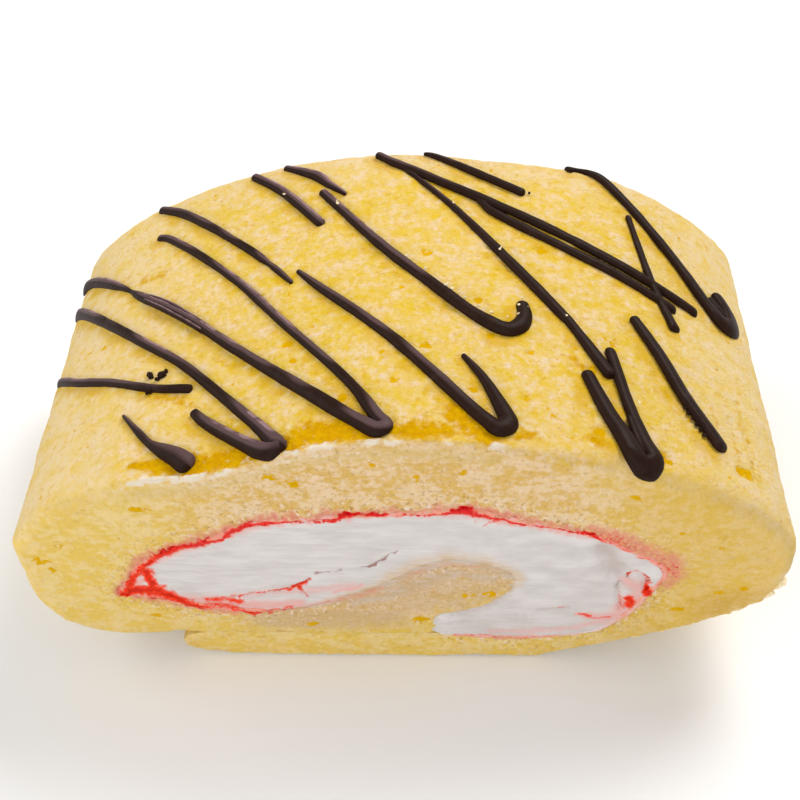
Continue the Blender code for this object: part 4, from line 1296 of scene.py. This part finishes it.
def cream_material():
    """Matt white cream with grey drag marks, pink washes, red cracks and painted shade in its hollows.
    """
    nodes = Nodes("cream")
    streaks = nodes.ramp(nodes.noise(0.9, 5.0, 0.6, drag=CREAM_DRAG), 0.32, 0.66)
    soft = nodes.ramp(nodes.noise(2.8, 3.0, drag=0.5), 0.32, 0.68)
    smooth = nodes.mix(soft, CREAM_GREY, CREAM_WHITE)
    streaked = nodes.mix(streaks, CREAM_GREY, CREAM_WHITE)
    share = nodes.scaled(nodes.attribute("smooth"), 0.5, 0.3)
    colour = nodes.mix(share, streaked, smooth)
    # Painted shade in the hollows of the cream
    colour = nodes.mix(nodes.times(nodes.attribute("painted_shade"), 0.5), colour, CREAM_PAINTED_SHADE)
    colour = nodes.mix(nodes.level("wiped", 0.1, 0.95), colour, wiped_colour(nodes))
    colour = with_jam(nodes, colour, CREAM_PINK, 0.2)
    cracks = nodes.times(nodes.level("crack", 0.35, 0.8), 0.75)
    colour = nodes.mix(cracks, colour, CREAM_CRACK)
    normal = nodes.bump(nodes.noise(0.6, 5.0, 0.65, drag=CREAM_DRAG), 0.6, 0.45)
    return nodes.finish(colour, 0.5, normal, Subsurface_Weight=0.2, Subsurface_Scale=0.0015,
                        Subsurface_Radius=(1.0, 0.85, 0.75), Specular_IOR_Level=0.15)


def chocolate_material():
    """Set dark chocolate, with a painted sheen on its upper side, where it faces the key light."""
    nodes = Nodes("chocolate")
    worn = nodes.ramp(nodes.noise(1.6, 4.0, 0.65), 0.45, 0.8)
    colour = nodes.mix(worn, CHOCOLATE, CHOCOLATE_WORN)
    # Painted sheen: broad on the lit side, brighter in patches where it faces the light most
    broad = nodes.times(nodes.level("painted_sheen", 0.05, 0.45), 0.3)
    patches = nodes.ramp(nodes.noise(1.8, 3.0), 0.3, 0.6)
    bright = nodes.times(nodes.level("painted_sheen", 0.7, 0.92), patches)
    colour = nodes.mix(nodes.scaled(bright, 0.85, broad), colour, CHOCOLATE_PAINTED_SHEEN)
    normal = nodes.bump(nodes.noise(0.6, 4.0), 0.3, 0.2)
    return nodes.finish(colour, 0.45, normal, Specular_IOR_Level=0.07)


def crumb_material():
    """Pale loose crumb."""
    nodes = Nodes("crumb")
    colour = nodes.mix(nodes.noise(0.6, 2.0), YELLOW_PALE, LIP_WHITE)
    return nodes.finish(colour, 0.85, None, Subsurface_Weight=0.2, Subsurface_Scale=0.001,
                        Subsurface_Radius=(1.0, 0.6, 0.3), Specular_IOR_Level=0.2)


def floor_material():
    """Plain pale surface with a faint unevenness."""
    nodes = Nodes("floor")
    colour = nodes.mix(nodes.noise(60.0, 2.0), (0.92, 0.92, 0.92), (0.94, 0.94, 0.94))
    return nodes.finish(colour, 0.85)


# ---------------------------------------------------------------- studio

def build_floor():
    """A wide pale floor under the cake."""
    side = np.linspace(-FLOOR_SIDE / 2, FLOOR_SIDE / 2, 9)
    x, y = np.meshgrid(side, side, indexing="ij")
    points = np.stack([x, y, np.zeros_like(x)], axis=2).reshape(-1, 3) * MM
    mesh = bpy.data.meshes.new("floor")
    mesh.from_pydata(points.tolist(), [], grid_faces(numbered(x)).tolist())
    mesh.materials.append(floor_material())
    floor = bpy.data.objects.new("floor", mesh)
    bpy.context.scene.collection.objects.link(floor)


def add_light(name, place, target, size, power, colour):
    """A square soft light that faces a target, both in millimetres."""
    light = bpy.data.lights.new(name, "AREA")
    light.energy = power
    light.size = size * MM
    light.color = colour
    lamp = bpy.data.objects.new(name, light)
    lamp.location = Vector(place) * MM
    facing = (Vector(target) - Vector(place)).to_track_quat("-Z", "Y")
    lamp.rotation_euler = facing.to_euler()
    bpy.context.scene.collection.objects.link(lamp)


def light_studio():
    """Soft key from the back right, a broad fill from the front and a pale world."""
    for light in LIGHTS:
        add_light(*light)
    world = bpy.data.worlds.new("studio")
    world.use_nodes = True
    background = world.node_tree.nodes["Background"]
    background.inputs["Color"].default_value = (1.0, 1.0, 1.0, 1.0)
    background.inputs["Strength"].default_value = WORLD_STRENGTH
    bpy.context.scene.world = world


def place_camera():
    """Camera at the photograph's angle."""
    pitch, yaw, roll = (math.radians(value) for value in (CAMERA_PITCH, CAMERA_YAW, CAMERA_ROLL))
    forward = Vector((math.sin(yaw) * math.cos(pitch), math.cos(yaw) * math.cos(pitch),
                      -math.sin(pitch)))
    level = Vector((math.cos(yaw), -math.sin(yaw), 0.0))
    upright = level.cross(forward)
    right = math.cos(roll) * level + math.sin(roll) * upright
    up = math.cos(roll) * upright - math.sin(roll) * level
    camera = bpy.data.cameras.new("camera")
    camera.sensor_width = 36.0
    camera.lens = camera.sensor_width * FOCAL_SHARE
    view = bpy.data.objects.new("camera", camera)
    turn = Matrix((right, up, -forward)).transposed().to_4x4()
    view.matrix_world = Matrix.Translation(Vector(CAMERA_PLACE) * MM) @ turn
    bpy.context.scene.collection.objects.link(view)
    bpy.context.scene.camera = view
    bpy.context.scene.view_settings.view_transform = "Standard"


sheet = Sheet(SHEET_STEP)
chocolate = chocolate_material()
build_sponge(sheet, sponge_material())
build_jam(sheet, jam_material())
build_cream(sheet, cream_material())
build_drizzle(sheet, chocolate)
build_specks(chocolate)
build_crumbs(sheet, crumb_material())
build_floor()
light_studio()
place_camera()
